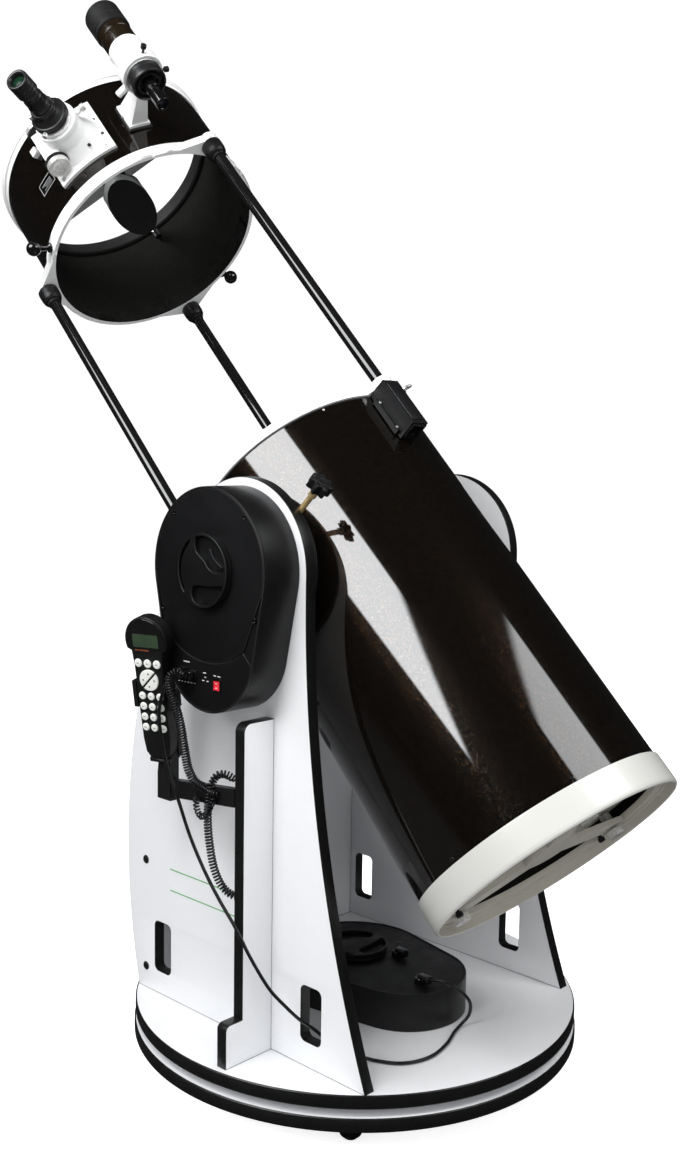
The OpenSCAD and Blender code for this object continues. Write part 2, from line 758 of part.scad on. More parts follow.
// Elliptical flat: a slanted slab trimmed round the tube axis
module secondary_mirror() {
  color("lightcyan") tube_frame() at_phi(focuser_phi) translate([0, 0, focuser_s])
    intersection() {
      translate([0, 0, -60]) cylinder(r = 35, h = 120, $fn = 96);
      rotate([0, -45, 0]) translate([-60, -60, -5]) cube([120, 120, 10]);
    }
}

// ---------- focuser ----------
// Focuser frame: origin on the tube axis, z outwards, x towards the rear of the tube
module focuser_frame() {
  tube_frame() at_phi(focuser_phi) translate([0, 0, focuser_s]) along_x() children();
}
mount_r = cage_r + 0.06;          // curved bases' fit on the cage tube
focus_shaft_r = 7;
focus_shaft_y = -36;
focus_shaft_z = 205;

module focuser_body() {
  color("white") focuser_frame() difference() {
    union() {
      // curved base
      intersection() {
        rotate([0, -90, 0]) translate([0, 0, -54]) ring(tube_r + 7.5, mount_r, 108);
        translate([-54, -52, 100]) cube([108, 104, 100]);
      }
      translate([0, 0, 176]) cylinder(r1 = 50, r2 = 33, h = 36, $fn = 96);
      translate([0, 0, 205]) cylinder(r = 33, h = 33, $fn = 96);
      // shaft housing
      translate([-30, focus_shaft_y - 12, 178]) cube([60, 26, 38]);
      translate([0, 30, 226]) rotate([-90, 0, 0]) cylinder(r = 5, h = 10, $fn = 32);
    }
    rotate([0, -90, 0]) translate([0, 0, -100]) cylinder(r = mount_r, h = 200, $fn = 180);
    cylinder(r = 28.58, h = 300, $fn = 96);
    translate([-60, focus_shaft_y, focus_shaft_z]) along_x()
      cylinder(r = focus_shaft_r + 0.08, h = 120);
    // room for the focus knobs
    for (i = [0, 1]) mirror([i, 0, 0])
      translate([30.6, focus_shaft_y, focus_shaft_z]) along_x()
        cylinder(r = 19.7, h = 40, $fn = 72);
  }
}
module focuser_drawtube() {
  color("silver") focuser_frame() translate([0, 0, 168]) difference() {
    cylinder(r = 28.5, h = 78, $fn = 96);
    translate([0, 0, -1]) cylinder(r = 25.46, h = 90, $fn = 96);
  }
}
module eyepiece_adapter() {
  color([0.07, 0.07, 0.07]) focuser_frame() difference() {
    union() {
      translate([0, 0, 214]) cylinder(r = 25.4, h = 33);
      translate([0, 0, 246]) cylinder(r = 27.5, h = 11);
      translate([0, 0, 256.9]) cylinder(r1 = 26, r2 = 19.5, h = 6);
      translate([0, 0, 262]) cylinder(r = 19, h = 14);
    }
    translate([0, 0, 200]) cylinder(r = 15.95, h = 100, $fn = 64);
    translate([0, 0, 200]) cylinder(r = 20, h = 44, $fn = 64);
  }
}
module eyepiece() {
  color([0.05, 0.05, 0.05]) focuser_frame() rotate_extrude($fn = 64)
    polygon([[12, 248], [15.875, 248], [15.875, 276.05], [16.8, 276.05], [16.8, 286],
      [15.4, 287], [15.4, 302], [14.4, 303], [14.4, 310], [16.6, 312], [16.6, 340],
      [15, 342], [11.5, 342], [11.5, 338], [0, 338], [0, 290], [12, 290]]);
}
module focus_knobs() {
  color("silver") focuser_frame() translate([0, focus_shaft_y, focus_shaft_z]) {
    along_x(-33) cylinder(r = focus_shaft_r, h = 66);
    along_x(31) cylinder(r = 19, h = 6, $fn = 72);
    along_x(36.9) cylinder(r = 17.5, h = 9, $fn = 72);
    along_x(-46) cylinder(r = 19, h = 15, $fn = 72);
  }
}

// ---------- finder ----------
// Finder frame: +x outwards at the finder, z along the tube; finder_axis moves to its own axis
module finder_frame() { tube_frame() at_phi(finder_phi) children(); }
module finder_axis() { translate([finder_off, 0, 0]) children(); }
finder_screw_s = 746;
finder_screw_angles = [5, 97];
plunger_angle = -131;   // boss on the bracket's ring
// Places children along each adjusting screw, z outwards from the finder axis
module at_finder_screws(angles) {
  finder_axis() translate([0, 0, finder_screw_s]) around(angles, 0) along_x() children();
}

module finder_bracket() {
  color("white") finder_frame() difference() {
    union() {
      // curved base
      intersection() {
        translate([0, 0, 745]) ring(tube_r + 10, mount_r, 51);
        translate([150, -17, 700]) cube([60, 34, 110]);
      }
      hull() {
        translate([finder_off - 33, -8, 738.5]) cube([4, 16, 19]);
        translate([tube_r + 7, -14, 748]) cube([2, 28, 45]);
      }
      translate([finder_off, 0, 738]) cylinder(r = 32, h = 20, $fn = 96);
      at_finder_screws([plunger_angle])
        translate([0, 0, 30]) cylinder(r = 5, h = 18, $fn = 32);
    }
    translate([finder_off, 0, 700]) cylinder(r = 28.6, h = 100, $fn = 96);
    at_finder_screws(finder_screw_angles) cylinder(r = 2.05, h = 60, $fn = 32);
  }
}
module finder_tube() {
  color("white") finder_frame() finder_axis() rotate_extrude($fn = 96)
    polygon([[9.56, 714], [27.4, 714], [27.4, 737], [27, 738], [27, 801], [25.7, 802],
      [25.7, 841], [28, 842], [28, 886], [26, 886], [26, 860], [0, 860], [0, 852],
      [22, 850], [22, 732], [9.56, 730]]);
}
module finder_screws() {
  color([0.06, 0.06, 0.06]) finder_frame() at_finder_screws(finder_screw_angles) {
    translate([0, 0, 27.2]) cylinder(r = 2, h = 12, $fn = 32);
    translate([0, 0, 38.5]) cylinder(r = 4.4, h = 7, $fn = 32);
  }
}
module finder_eyepiece() {
  color([0.05, 0.05, 0.05]) finder_frame() finder_axis() rotate_extrude($fn = 64)
    polygon([[7, 668], [11, 668], [11, 688], [9.5, 690], [9.5, 727], [0, 727], [0, 672],
      [7, 672]]);
}

ground_board();
feet();
azimuth_post();
azimuth_worm_wheel();
roller_ring();
turntable();
near_side_board();
far_side_board();
front_board();
side_fin();
screw_caps();
azimuth_housing();
azimuth_motor();
azimuth_worm();
azimuth_grip();
altitude_housing();
altitude_cover();
control_panel();
power_switch();
altitude_motor();
altitude_worm();
handset_holder();
handset_shell();
handset_keys();
direction_pad();
lower_tube();
lower_top_ring();
rear_ring();
mirror_cell();
primary_mirror();
collimation_springs();
collimation_knobs();
altitude_flange();
altitude_shaft();
altitude_worm_wheel();
altitude_grip();
lock_knob();
far_trunnion();
rod_clamps();
clamp_knob_1();
clamp_knob_2();
clamp_knob_3();
cage_tube();
cage_front_ring();
cage_rear_ring();
truss_rods();
rod_caps();
pull_handles();
spider();
secondary_holder();
secondary_mirror();
focuser_body();
focuser_drawtube();
eyepiece_adapter();
eyepiece();
focus_knobs();
finder_bracket();
finder_tube();
finder_screws();
finder_eyepiece();
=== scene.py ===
"""Truss-tube reflecting telescope on a motorised rocker-box mount, with handset and finder.

The mount stands on z = 0 and turns about the Z axis. The altitude axis lies along X, with the
altitude drive on the -X side. The tube leans 46 degrees up towards +Y, and its mirror end hangs
towards -Y. Shapes are given in millimetres and built in metres.
"""
import math
import bpy, bmesh
from mathutils import Matrix, Vector

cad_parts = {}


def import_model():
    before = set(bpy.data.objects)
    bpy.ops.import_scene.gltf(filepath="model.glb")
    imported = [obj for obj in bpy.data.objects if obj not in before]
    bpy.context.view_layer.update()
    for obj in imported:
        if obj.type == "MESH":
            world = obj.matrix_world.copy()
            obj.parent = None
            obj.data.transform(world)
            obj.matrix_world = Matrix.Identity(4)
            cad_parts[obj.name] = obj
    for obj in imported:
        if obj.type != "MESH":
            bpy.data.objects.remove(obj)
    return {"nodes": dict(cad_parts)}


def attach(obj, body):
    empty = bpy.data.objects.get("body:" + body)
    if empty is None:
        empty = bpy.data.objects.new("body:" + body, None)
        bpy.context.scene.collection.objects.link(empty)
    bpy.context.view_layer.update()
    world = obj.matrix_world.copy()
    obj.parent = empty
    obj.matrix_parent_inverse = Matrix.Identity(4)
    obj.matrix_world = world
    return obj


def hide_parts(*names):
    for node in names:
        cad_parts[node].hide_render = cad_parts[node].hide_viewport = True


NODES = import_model()["nodes"]
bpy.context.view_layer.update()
D = bpy.data
COLLECTION = bpy.context.scene.collection
rad = math.radians
MM = 0.001

# ------------------------------------------------------------------ frames
X_AXIS, Y_AXIS, Z_AXIS = Vector((1, 0, 0)), Vector((0, 1, 0)), Vector((0, 0, 1))
TILT = rad(46.0)
PIVOT = Vector((0, 0.003, 0.725))          # altitude axis, middle of the tube
ALONG = Vector((0, math.cos(TILT), math.sin(TILT)))
ACROSS = Vector((0, -math.sin(TILT), math.cos(TILT)))


def axes(origin, x, y, z):
    """Matrix from an origin in metres and three axes."""
    matrix = Matrix.Identity(4)
    for column, vector in enumerate((x, y, z, origin)):
        for row in range(3):
            matrix[row][column] = vector[row]
    return matrix


def move(x=0, y=0, z=0):
    return Matrix.Translation((x * MM, y * MM, z * MM))


def turn(degrees, axis):
    return Matrix.Rotation(rad(degrees), 4, axis)


def radial(phi):
    """Outward direction at phi degrees round the tube, from +X towards the upper side."""
    return math.cos(rad(phi)) * X_AXIS + math.sin(rad(phi)) * ACROSS


def tangent(phi):
    return -math.sin(rad(phi)) * X_AXIS + math.cos(rad(phi)) * ACROSS


def spoke(phi, radius=0):
    """x outwards at phi, z along the tube."""
    return axes(PIVOT + radial(phi) * (radius * MM), radial(phi), -tangent(phi), ALONG)


def stud(phi, station, radius=0):
    """z outwards at phi, at a station along the tube."""
    side = tangent(phi)
    origin = PIVOT + ALONG * (station * MM) + radial(phi) * (radius * MM)
    return axes(origin, ALONG, side, ALONG.cross(side))


def outward(base, height, angle):
    """z outwards from the z axis of another frame."""
    return base @ move(0, 0, height) @ turn(angle, "Z") @ turn(90, "Y")


TUBE = axes(PIVOT, X_AXIS, -ACROSS, ALONG)
FOCUSER = axes(PIVOT + ALONG * 0.778, -ALONG, -tangent(150), radial(150))
FINDER = spoke(118, 282)
ALT_DRIVE = axes(Vector((-0.228, 0.003, 0.725)), -Y_AXIS, Z_AXIS, -X_AXIS)
AZ_DRIVE = axes(Vector((0, 0, 0.087)), X_AXIS, Y_AXIS, Z_AXIS)

# ------------------------------------------------------------------ materials
MATS = {}


class Graph:
    """A cleared node tree with short calls for the nodes used here."""

    def __init__(self, owner):
        owner.use_nodes = True
        self.tree = owner.node_tree
        self.tree.nodes.clear()

    def feed(self, node, inputs):
        """Link sockets to inputs, or set their values."""
        for key, value in inputs.items():
            socket = node.inputs[key]
            if isinstance(value, bpy.types.NodeSocket):
                self.tree.links.new(value, socket)
            elif socket.type == "RGBA":
                socket.default_value = (*value, 1)
            else:
                socket.default_value = value

    def node(self, kind, inputs=None, **settings):
        node = self.tree.nodes.new("ShaderNode" + kind)
        for key, value in settings.items():
            setattr(node, key, value)
        self.feed(node, inputs or {})
        return node

    def calc(self, operation, *values):
        return self.node("Math", dict(enumerate(values)), operation=operation).outputs[0]

    def mix(self, factor, first, second, blend="MIX"):
        return self.node("Mix", {0: factor, 6: first, 7: second},
                         data_type="RGBA", blend_type=blend).outputs[2]

    def ramp(self, factor, *stops):
        """Stops are (position, grey or colour)."""
        node = self.node("ValToRGB", {0: factor})
        elements = node.color_ramp.elements
        while len(elements) < len(stops):
            elements.new(0.5)
        for element, (position, value) in zip(elements, stops):
            element.position = position
            colour = value if isinstance(value, tuple) else (value,) * 3
            element.color = (*colour, 1)
        return node.outputs[0]


class Material(Graph):
    """A principled material in object coordinates, kept in MATS."""

    def __init__(self, name):
        material = D.materials.new(name)
        super().__init__(material)
        output = self.node("OutputMaterial")
        self.principled = self.node("BsdfPrincipled")
        self.feed(output, {0: self.principled.outputs[0]})
        self.vector = self.node("TexCoord").outputs["Object"]
        MATS[name] = material

    def surface(self, inputs):
        self.feed(self.principled, inputs)

    def noise(self, scale, detail=3.0, vector=None):
        return self.node("TexNoise", {"Vector": vector or self.vector, "Scale": scale,
                                      "Detail": detail, "Roughness": 0.55}).outputs[0]

    def voronoi(self, scale):
        return self.node("TexVoronoi", {"Scale": scale, "Vector": self.vector}).outputs

    def bump(self, height, distance, strength=1.0):
        return self.node("Bump", {"Strength": strength, "Distance": distance,
                                  "Height": height}).outputs[0]


def plain(name, colour, rough, metal=0.0, vary=0.12, patch=40.0, grain=900.0, depth=0.00004,
          coat=0.0, coat_rough=0.05, spec=0.5, rough_vary=0.08, glow=None):
    """Slightly uneven colour: patch and grain are noise scales, depth is the grain height."""
    mat = Material(name)
    dark = tuple(max(0.0, c * (1 - vary)) for c in colour)
    light = tuple(min(1.0, c * (1 + vary)) for c in colour)
    tint = mat.ramp(mat.noise(patch, detail=4), (0.3, dark), (0.7, light))
    sheen = mat.ramp(mat.noise(patch * 2.7, detail=5), (0.3, max(0.02, rough - rough_vary)),
                     (0.7, min(1, rough + rough_vary)))
    mat.surface({"Base Color": tint, "Roughness": sheen,
                 "Normal": mat.bump(mat.noise(grain, detail=2), depth),
                 "Metallic": metal, "Coat Weight": coat, "Coat Roughness": coat_rough,
                 "Specular IOR Level": spec})
    if glow:
        mat.surface({"Emission Color": glow[0], "Emission Strength": glow[1]})


def flake_paint(name, base=(0.0022, 0.0019, 0.0016), flake=(0.075, 0.043, 0.019)):
    """Gloss black tube paint with a bronze metallic flake under the lacquer."""
    mat = Material(name)
    coarse, fine = mat.voronoi(scale=1700.0), mat.voronoi(scale=3300.0)
    cell = mat.node("SeparateColor", {0: coarse["Color"]}).outputs
    fine_cell = mat.node("SeparateColor", {0: fine["Color"]}).outputs
    # only the few cells with the highest random value become flakes
    chosen = mat.calc("MAXIMUM", mat.ramp(cell[0], (0.92, 0.0), (0.96, 1.0)),
                      mat.ramp(fine_cell[0], (0.94, 0.0), (0.98, 0.8)))
    warm = (flake[0] * 1.2, flake[1] * 0.9, flake[2] * 0.7)
    tint = mat.ramp(cell[1], (0.0, warm), (0.6, flake), (1.0, (0.10, 0.085, 0.07)))
    # each flake lies at its own small angle
    normal = mat.node("NewGeometry").outputs["Normal"]
    centred = mat.node("VectorMath", {0: coarse["Color"], 1: (0.5, 0.5, 0.5)},
                       operation="SUBTRACT").outputs[0]
    lean = mat.node("VectorMath", {0: centred, "Scale": 0.12}, operation="SCALE").outputs[0]
    leaning = mat.node("VectorMath", {0: normal, 1: lean}, operation="ADD").outputs[0]
    unit = mat.node("VectorMath", {0: leaning}, operation="NORMALIZE").outputs[0]
    mat.surface({"Normal": unit, "Base Color": mat.mix(chosen, base, tint),
                 "Metallic": mat.calc("MULTIPLY", chosen, 1.0),
                 "Roughness": 0.19, "Specular IOR Level": 0.02,
                 "Coat Weight": 1.0, "Coat Roughness": 0.045, "Coat IOR": 1.75,
                 "Coat Normal": mat.bump(mat.noise(30.0, detail=2), 0.00008, strength=0.2)})


def edge_highlight_mask(mat, radius):
    """0 in the open, towards 1 on convex edges; masks the painted edge highlight."""
    normal = mat.node("NewGeometry").outputs["Normal"]
    rounded_normal = mat.node("Bevel", {"Radius": radius}, samples=4).outputs[0]
    dot = mat.node("VectorMath", {0: normal, 1: rounded_normal}, operation="DOT_PRODUCT")
    return mat.calc("SUBTRACT", 1.0, dot.outputs["Value"])


def grained(name, colour, rough, spec, cell=1400.0):
    """Spark-eroded texture of a moulded black cover, with a painted highlight along its edges."""
    mat = Material(name)
    tint = mat.ramp(mat.noise(9.0, detail=4), (0.3, colour),
                    (0.72, tuple(c * 1.6 for c in colour)))
    # painted highlight: convex edges are lightened in the base colour
    edge_highlight_amount = mat.ramp(edge_highlight_mask(mat, radius=0.0012), (0.012, 0.0), (0.13, 1.0))
    edge = tuple(min(1, c * 4 + 0.10) for c in colour)
    sheen = mat.ramp(mat.noise(50.0, detail=4), (0.3, rough - 0.06), (0.7, rough + 0.06))
    pits = mat.calc("MULTIPLY", mat.voronoi(cell)["Distance"], 0.6)
    height = mat.calc("ADD", pits, mat.noise(cell * 0.6, detail=3))
    mat.surface({"Base Color": mat.mix(mat.calc("MULTIPLY", edge_highlight_amount, 0.75), tint, edge),
                 "Roughness": sheen, "Normal": mat.bump(height, 0.00012, strength=0.6),
                 "Specular IOR Level": spec})


def brushed(name, colour, rough, metal, stretch=(1, 1, 1), scale=60.0):
    mat = Material(name)
    stretched = mat.node("Mapping", {"Scale": stretch, 0: mat.vector}).outputs[0]
    streaks = mat.noise(scale, detail=4, vector=stretched)
    mat.surface({
        "Base Color": mat.ramp(streaks, (0.3, tuple(c * 0.85 for c in colour)), (0.7, colour)),
        "Roughness": mat.ramp(streaks, (0.3, rough - 0.07), (0.7, rough + 0.1)),
        "Normal": mat.bump(streaks, 0.00003, strength=0.5), "Metallic": metal})


def silvered(name, dark, light, smoothest):
    """Figured glass with an aluminised face."""
    mat = Material(name)
    patches = mat.noise(25.0)
    mat.surface({"Base Color": mat.ramp(patches, (0.3, dark), (0.7, light)),
                 "Roughness": mat.ramp(patches, (0.3, smoothest), (0.8, 0.05)), "Metallic": 1})


def display_glass(name):
    """Liquid crystal window: dark green with a fine dot matrix."""
    mat = Material(name)
    position = mat.node("SeparateXYZ", {0: mat.vector}).outputs
    dots_per_metre, gap = 1250.0, 0.18
    cell_y, cell_z = (mat.calc("FRACT", mat.calc("MULTIPLY", position[k], dots_per_metre))
                      for k in (1, 2))
    dots = mat.calc("MULTIPLY", mat.calc("GREATER_THAN", cell_y, gap),
                    mat.calc("GREATER_THAN", cell_z, gap))
    green = mat.ramp(mat.noise(40), (0.3, (0.030, 0.055, 0.030)), (0.7, (0.045, 0.075, 0.040)))
    mat.surface({"Base Color": mat.mix(dots, (0.018, 0.032, 0.018), green),
                 "Roughness": 0.22, "Coat Weight": 0.6, "Coat Roughness": 0.05})


def laminate_face(name):
    """White melamine with faint specks."""
    mat = Material(name)
    white = mat.ramp(mat.noise(3.0, detail=5), (0.3, (0.77, 0.78, 0.80)),
                     (0.7, (0.82, 0.825, 0.84)))
    specks = mat.ramp(mat.noise(420.0, detail=2), (0.25, 0.93), (0.40, 1.0))
    mat.surface({"Base Color": mat.mix(1, white, specks, blend="MULTIPLY"),
                 "Roughness": mat.ramp(mat.noise(35.0, detail=4), (0.3, 0.36), (0.7, 0.46)),
                 "Normal": mat.bump(mat.noise(650.0), 0.00006, strength=0.7)})


flake_paint("tube_paint")
plain("inner_band", (0.020, 0.020, 0.020), 0.5, depth=0.0001, spec=0.3)
plain("matt_inside", (0.012, 0.012, 0.011), 0.8, patch=60, grain=1200, depth=0.0002, spec=0.15)
plain("cell_cast", (0.46, 0.44, 0.39), 0.5, patch=12, grain=420, depth=0.00007, vary=0.06,
      spec=0.3)
plain("holder_grey", (0.30, 0.31, 0.32), 0.32, metal=0.55, patch=30, grain=700, vary=0.06)
plain("section_brown", (0.0100, 0.0065, 0.0035), 0.20, patch=30, grain=500, depth=0.00003,
      coat=0.7, coat_rough=0.06)
plain("ring_white", (0.61, 0.610, 0.580), 0.30, patch=14, grain=380, depth=0.00001, vary=0.012,
      coat=0.4, coat_rough=0.12, rough_vary=0.02)
plain("white_gloss", (0.84, 0.845, 0.84), 0.30, patch=14, grain=380, depth=0.00001, vary=0.012,
      coat=0.3, coat_rough=0.12, rough_vary=0.02)
grained("drive_plastic", (0.0036, 0.0036, 0.004), rough=0.40, spec=0.27)
grained("drive_side", (0.0042, 0.0042, 0.0045), rough=0.37, spec=0.28, cell=1100)
plain("black_plastic", (0.0065, 0.0065, 0.007), 0.42, spec=0.35, patch=30, grain=1100,
      depth=0.00006)
plain("black_gloss", (0.004, 0.004, 0.004), 0.13, patch=20, grain=260, depth=0.000006,
      coat=0.8, rough_vary=0.02)
plain("rod_black", (0.006, 0.006, 0.006), 0.09, patch=20, grain=300, depth=0.000001, spec=0.8,
      rough_vary=0.01)
plain("black_anod", (0.011, 0.011, 0.0115), 0.30, patch=60, grain=1500, depth=0.000003,
      rough_vary=0.015)
plain("black_metal", (0.008, 0.008, 0.008), 0.36, grain=800, depth=0.00008)
plain("rubber", (0.007, 0.007, 0.007), 0.62, patch=60, grain=1300, depth=0.0001, spec=0.3)
plain("cable", (0.0045, 0.0045, 0.005), 0.34, patch=50, depth=0.00003)
plain("key_white", (0.74, 0.76, 0.72), 0.45, patch=80, grain=1500, depth=0.00005, vary=0.04)
plain("key_print", (0.16, 0.17, 0.18), 0.6, patch=80)
plain("print_white", (0.62, 0.62, 0.62), 0.5, patch=80)
plain("print_grey", (0.30, 0.31, 0.32), 0.5, patch=80)
plain("print_green", (0.16, 0.42, 0.17), 0.5, patch=80)
plain("nylon", (0.70, 0.68, 0.60), 0.5)
plain("red_lit", (0.50, 0.02, 0.03), 0.25, glow=((1.0, 0.05, 0.08), 0.28))
plain("glass_green", (0.005, 0.022, 0.010), 0.12, patch=20, coat_rough=0.02, depth=0.0,
      spec=0.12, rough_vary=0.01)
plain("glass_dark", (0.01, 0.012, 0.02), 0.03, patch=20, coat=1.0, coat_rough=0.0, depth=0.0)
brushed("steel", (0.66, 0.66, 0.64), 0.32, metal=0.62, stretch=(1, 1, 60))
brushed("aluminium", (0.78, 0.78, 0.76), 0.32, metal=0.55, scale=200)
brushed("chrome", (0.82, 0.82, 0.82), 0.13, metal=0.7, scale=90)
brushed("brass", (0.74, 0.54, 0.26), 0.28, metal=0.6, scale=150)
brushed("bronze", (0.64, 0.42, 0.20), 0.36, metal=0.6, scale=120)
silvered("mirror", (0.86, 0.88, 0.90), (0.91, 0.93, 0.95), smoothest=0.015)
# painted reflection: the flat's colour is darkened for the unlit side of the room that it reflects
silvered("flat_mirror", (0.155, 0.150, 0.155), (0.19, 0.185, 0.19), smoothest=0.02)
plain("glass_edge", (0.52, 0.54, 0.54), 0.22, patch=25, depth=0.00002, rough_vary=0.03)
plain("glass_back", (0.10, 0.12, 0.12), 0.35, patch=25, depth=0.00005)
display_glass("lcd")
plain("edge_band", (0.005, 0.005, 0.005), 0.34, patch=25, grain=500, depth=0.00005)
laminate_face("lam_face")
plain("amber_strip", (0.16, 0.045, 0.02), 0.3, patch=60, vary=0.3)


# ------------------------------------------------------------------ mesh helpers
# Shape helpers take: name, shape in mm, place (a frame), look (one or more materials),
# body (the moving body it rides on) and slot (the CAD material slot).
def register(name, mesh, body, replaces=None):
    ob = D.objects.new(name, mesh)
    COLLECTION.objects.link(ob)
    if body:
        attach(ob, body)
    if replaces:
        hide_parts(replaces)
    return ob


def first(index, node):
    """Only the first of a set stands in for the CAD node."""
    return node if index == 0 else None


def finish(name, bm, place, look, body, slot, replaces=None, sharp=35, rounding=0.0):
    """Turn a bmesh in metres into a smooth object with optional rounded edges."""
    mesh = D.meshes.new(name)
    bm.to_mesh(mesh)
    bm.free()
    return finish_mesh(name, mesh, place, look, body, replaces, sharp, rounding)


def finish_mesh(name, mesh, place, look, body, replaces=None, sharp=35, rounding=0.0):
    if place is not None:
        mesh.transform(place)
    bm = bmesh.new()
    bm.from_mesh(mesh)
    bmesh.ops.remove_doubles(bm, verts=bm.verts, dist=1e-7)
    bmesh.ops.recalc_face_normals(bm, faces=bm.faces)

    def edges_over(angle):
        return [edge for edge in bm.edges
                if len(edge.link_faces) == 2 and edge.calc_face_angle(0) > rad(angle)]
    if rounding > 0:
        bmesh.ops.bevel(bm, geom=edges_over(35), offset=rounding * MM, offset_type="OFFSET",
                        segments=3, profile=0.5, affect="EDGES", clamp_overlap=True)
    for face in bm.faces:
        face.smooth = True
    for edge in edges_over(sharp):
        edge.smooth = False
    bm.to_mesh(mesh)
    bm.free()
    for material in (look,) if isinstance(look, str) else look:
        mesh.materials.append(MATS[material])
    return register(name, mesh, body, replaces)


def bridge(bm, ring, following):
    """Quads between two rings of equal length."""
    count = len(ring)
    for k in range(count):
        after = (k + 1) % count
        bm.faces.new((ring[k], ring[after], following[after], following[k]))


def rounded(points, radius):
    """Round the inner corners of an open polyline."""
    steps = 4
    out = [points[0]]
    for before, corner, after in zip(points, points[1:], points[2:]):
        before, corner, after = Vector(before), Vector(corner), Vector(after)
        back, ahead = before - corner, after - corner
        cut = min(radius, back.length * 0.45, ahead.length * 0.45)
        if cut < 1e-7:
            out.append(tuple(corner))
            continue
        start, end = corner + back.normalized() * cut, corner + ahead.normalized() * cut
        for k in range(steps + 1):
            t = k / steps
            out.append(tuple((1 - t) ** 2 * start + 2 * t * (1 - t) * corner + t * t * end))
    out.append(points[-1])
    return out


def lathe(name, profile, place, look, body, slot, rounding=0.8, segs=96, closed=False,
          second=(), **options):
    """Turn a profile of (radius, z) about z. Strips listed in second take the second look."""
    bm = bmesh.new()
    rings = []
    for r, z in rounded(profile, rounding) if rounding else profile:
        r, z = r * MM, z * MM
        if r < 1e-7:
            rings.append([bm.verts.new((0, 0, z))])
            continue
        turns = [2 * math.pi * k / segs for k in range(segs)]
        rings.append([bm.verts.new((r * math.cos(t), r * math.sin(t), z)) for t in turns])
    pairs = list(zip(rings, rings[1:])) + ([(rings[-1], rings[0])] if closed else [])
    for i, (ring, following) in enumerate(pairs):
        if len(ring) == 1 and len(following) == 1:
            continue
        for k in range(segs):
            after = (k + 1) % segs
            if len(ring) == 1:
                corners = [ring[0], following[k], following[after]]
            elif len(following) == 1:
                corners = [ring[k], following[0], ring[after]]
            else:
                corners = [ring[k], following[k], following[after], ring[after]]
            bm.faces.new(corners).material_index = 1 if i in second else 0
    return finish(name, bm, place, look, body, slot, **options)


def plate(name, outlines, z_range, place, look, body, slot, rounding=1.0, seg=3, replaces=None):
    """Flat plate from closed (x, y) outlines, the later ones holes, with rounded rims."""
    low, high, bevel = z_range[0] * MM, z_range[1] * MM, rounding * MM
    curve = D.curves.new(name + "_c", "CURVE")
    curve.dimensions = "2D"
    curve.fill_mode = "BOTH"
    curve.extrude = max((high - low) / 2 - bevel, 1e-5)
    curve.bevel_depth = bevel
    curve.bevel_resolution = seg
    curve.offset = -bevel
    for outline in outlines:
        spline = curve.splines.new("POLY")
        spline.points.add(len(outline) - 1)
        for point, (x, y) in zip(spline.points, outline):
            point.co = (x * MM, y * MM, 0, 1)
        spline.use_cyclic_u = True
    carrier = D.objects.new(name + "_t", curve)
    COLLECTION.objects.link(carrier)
    depsgraph = bpy.context.evaluated_depsgraph_get()
    depsgraph.update()
    mesh = D.meshes.new_from_object(carrier.evaluated_get(depsgraph))
    D.objects.remove(carrier)
    D.curves.remove(curve)
    mesh.name = name
    mesh.transform(Matrix.Translation((0, 0, (low + high) / 2)))
    mesh.materials.clear()
    return finish_mesh(name, mesh, place, look, body, replaces)


def block(name, low, high, place, look, body, slot, rounding=1.0):
    """Box between two opposite corners, with rounded edges."""
    low, high = [v * MM for v in low], [v * MM for v in high]
    bm = bmesh.new()
    bmesh.ops.create_cube(bm, size=1.0)
    for vert in bm.verts:
        vert.co = Vector([(a + b) / 2 + c * (b - a) for a, b, c in zip(low, high, vert.co)])
    return finish(name, bm, place, look, body, slot, rounding=rounding)


def arc(x, y, radius, count=96, start=0.0, end=360.0):
    """Points of an arc, or of a whole circle without a repeated end."""
    steps = count if abs(end - start) >= 359.9 else count - 1
    turns = [rad(start + (end - start) * k / steps) for k in range(count)]
    return [(x + radius * math.cos(t), y + radius * math.sin(t)) for t in turns]


def round_rect(x, y, width, height, radius):
    out = []
    for side_x, side_y, start in ((1, 1, 0), (-1, 1, 90), (-1, -1, 180), (1, -1, 270)):
        out += arc(x + side_x * (width / 2 - radius), y + side_y * (height / 2 - radius),
                   radius, 8, start, start + 90)
    return out


def spline_through(points, steps):
    """Catmull-Rom curve through points in mm, as vectors in metres."""
    knots = [Vector([c * MM for c in point]) for point in points]
    out = []
    for i in range(len(knots) - 1):
        p0, p1, p2, p3 = (knots[max(i - 1, 0)], knots[i], knots[i + 1],
                          knots[min(i + 2, len(knots) - 1)])
        for k in range(steps):
            t = k / steps
            out.append(0.5 * ((2 * p1) + (-p0 + p2) * t + (2 * p0 - 5 * p1 + 4 * p2 - p3) * t * t
                              + (-p0 + 3 * p1 - 3 * p2 + p3) * t ** 3))
    return out + [knots[-1]]


def wire(name, path, radius, look, body, slot, sides, replaces=None):
    """Round wire swept along vectors in metres."""
    bm = bmesh.new()
    rings = []
    normal = (path[1] - path[0]).normalized().orthogonal().normalized()
    for i, point in enumerate(path):
        ahead = (path[min(i + 1, len(path) - 1)] - path[max(i - 1, 0)]).normalized()
        normal = (normal - ahead * normal.dot(ahead)).normalized()
        binormal = ahead.cross(normal)
        turns = [2 * math.pi * k / sides for k in range(sides)]
        rings.append([bm.verts.new(point + radius * MM * (math.cos(t) * normal
                                                          + math.sin(t) * binormal))
                      for t in turns])
    for ring, following in zip(rings, rings[1:]):
        bridge(bm, ring, following)
    bm.faces.new(rings[0][::-1])
    bm.faces.new(rings[-1])
    finish(name, bm, None, look, body, slot, replaces, sharp=60)


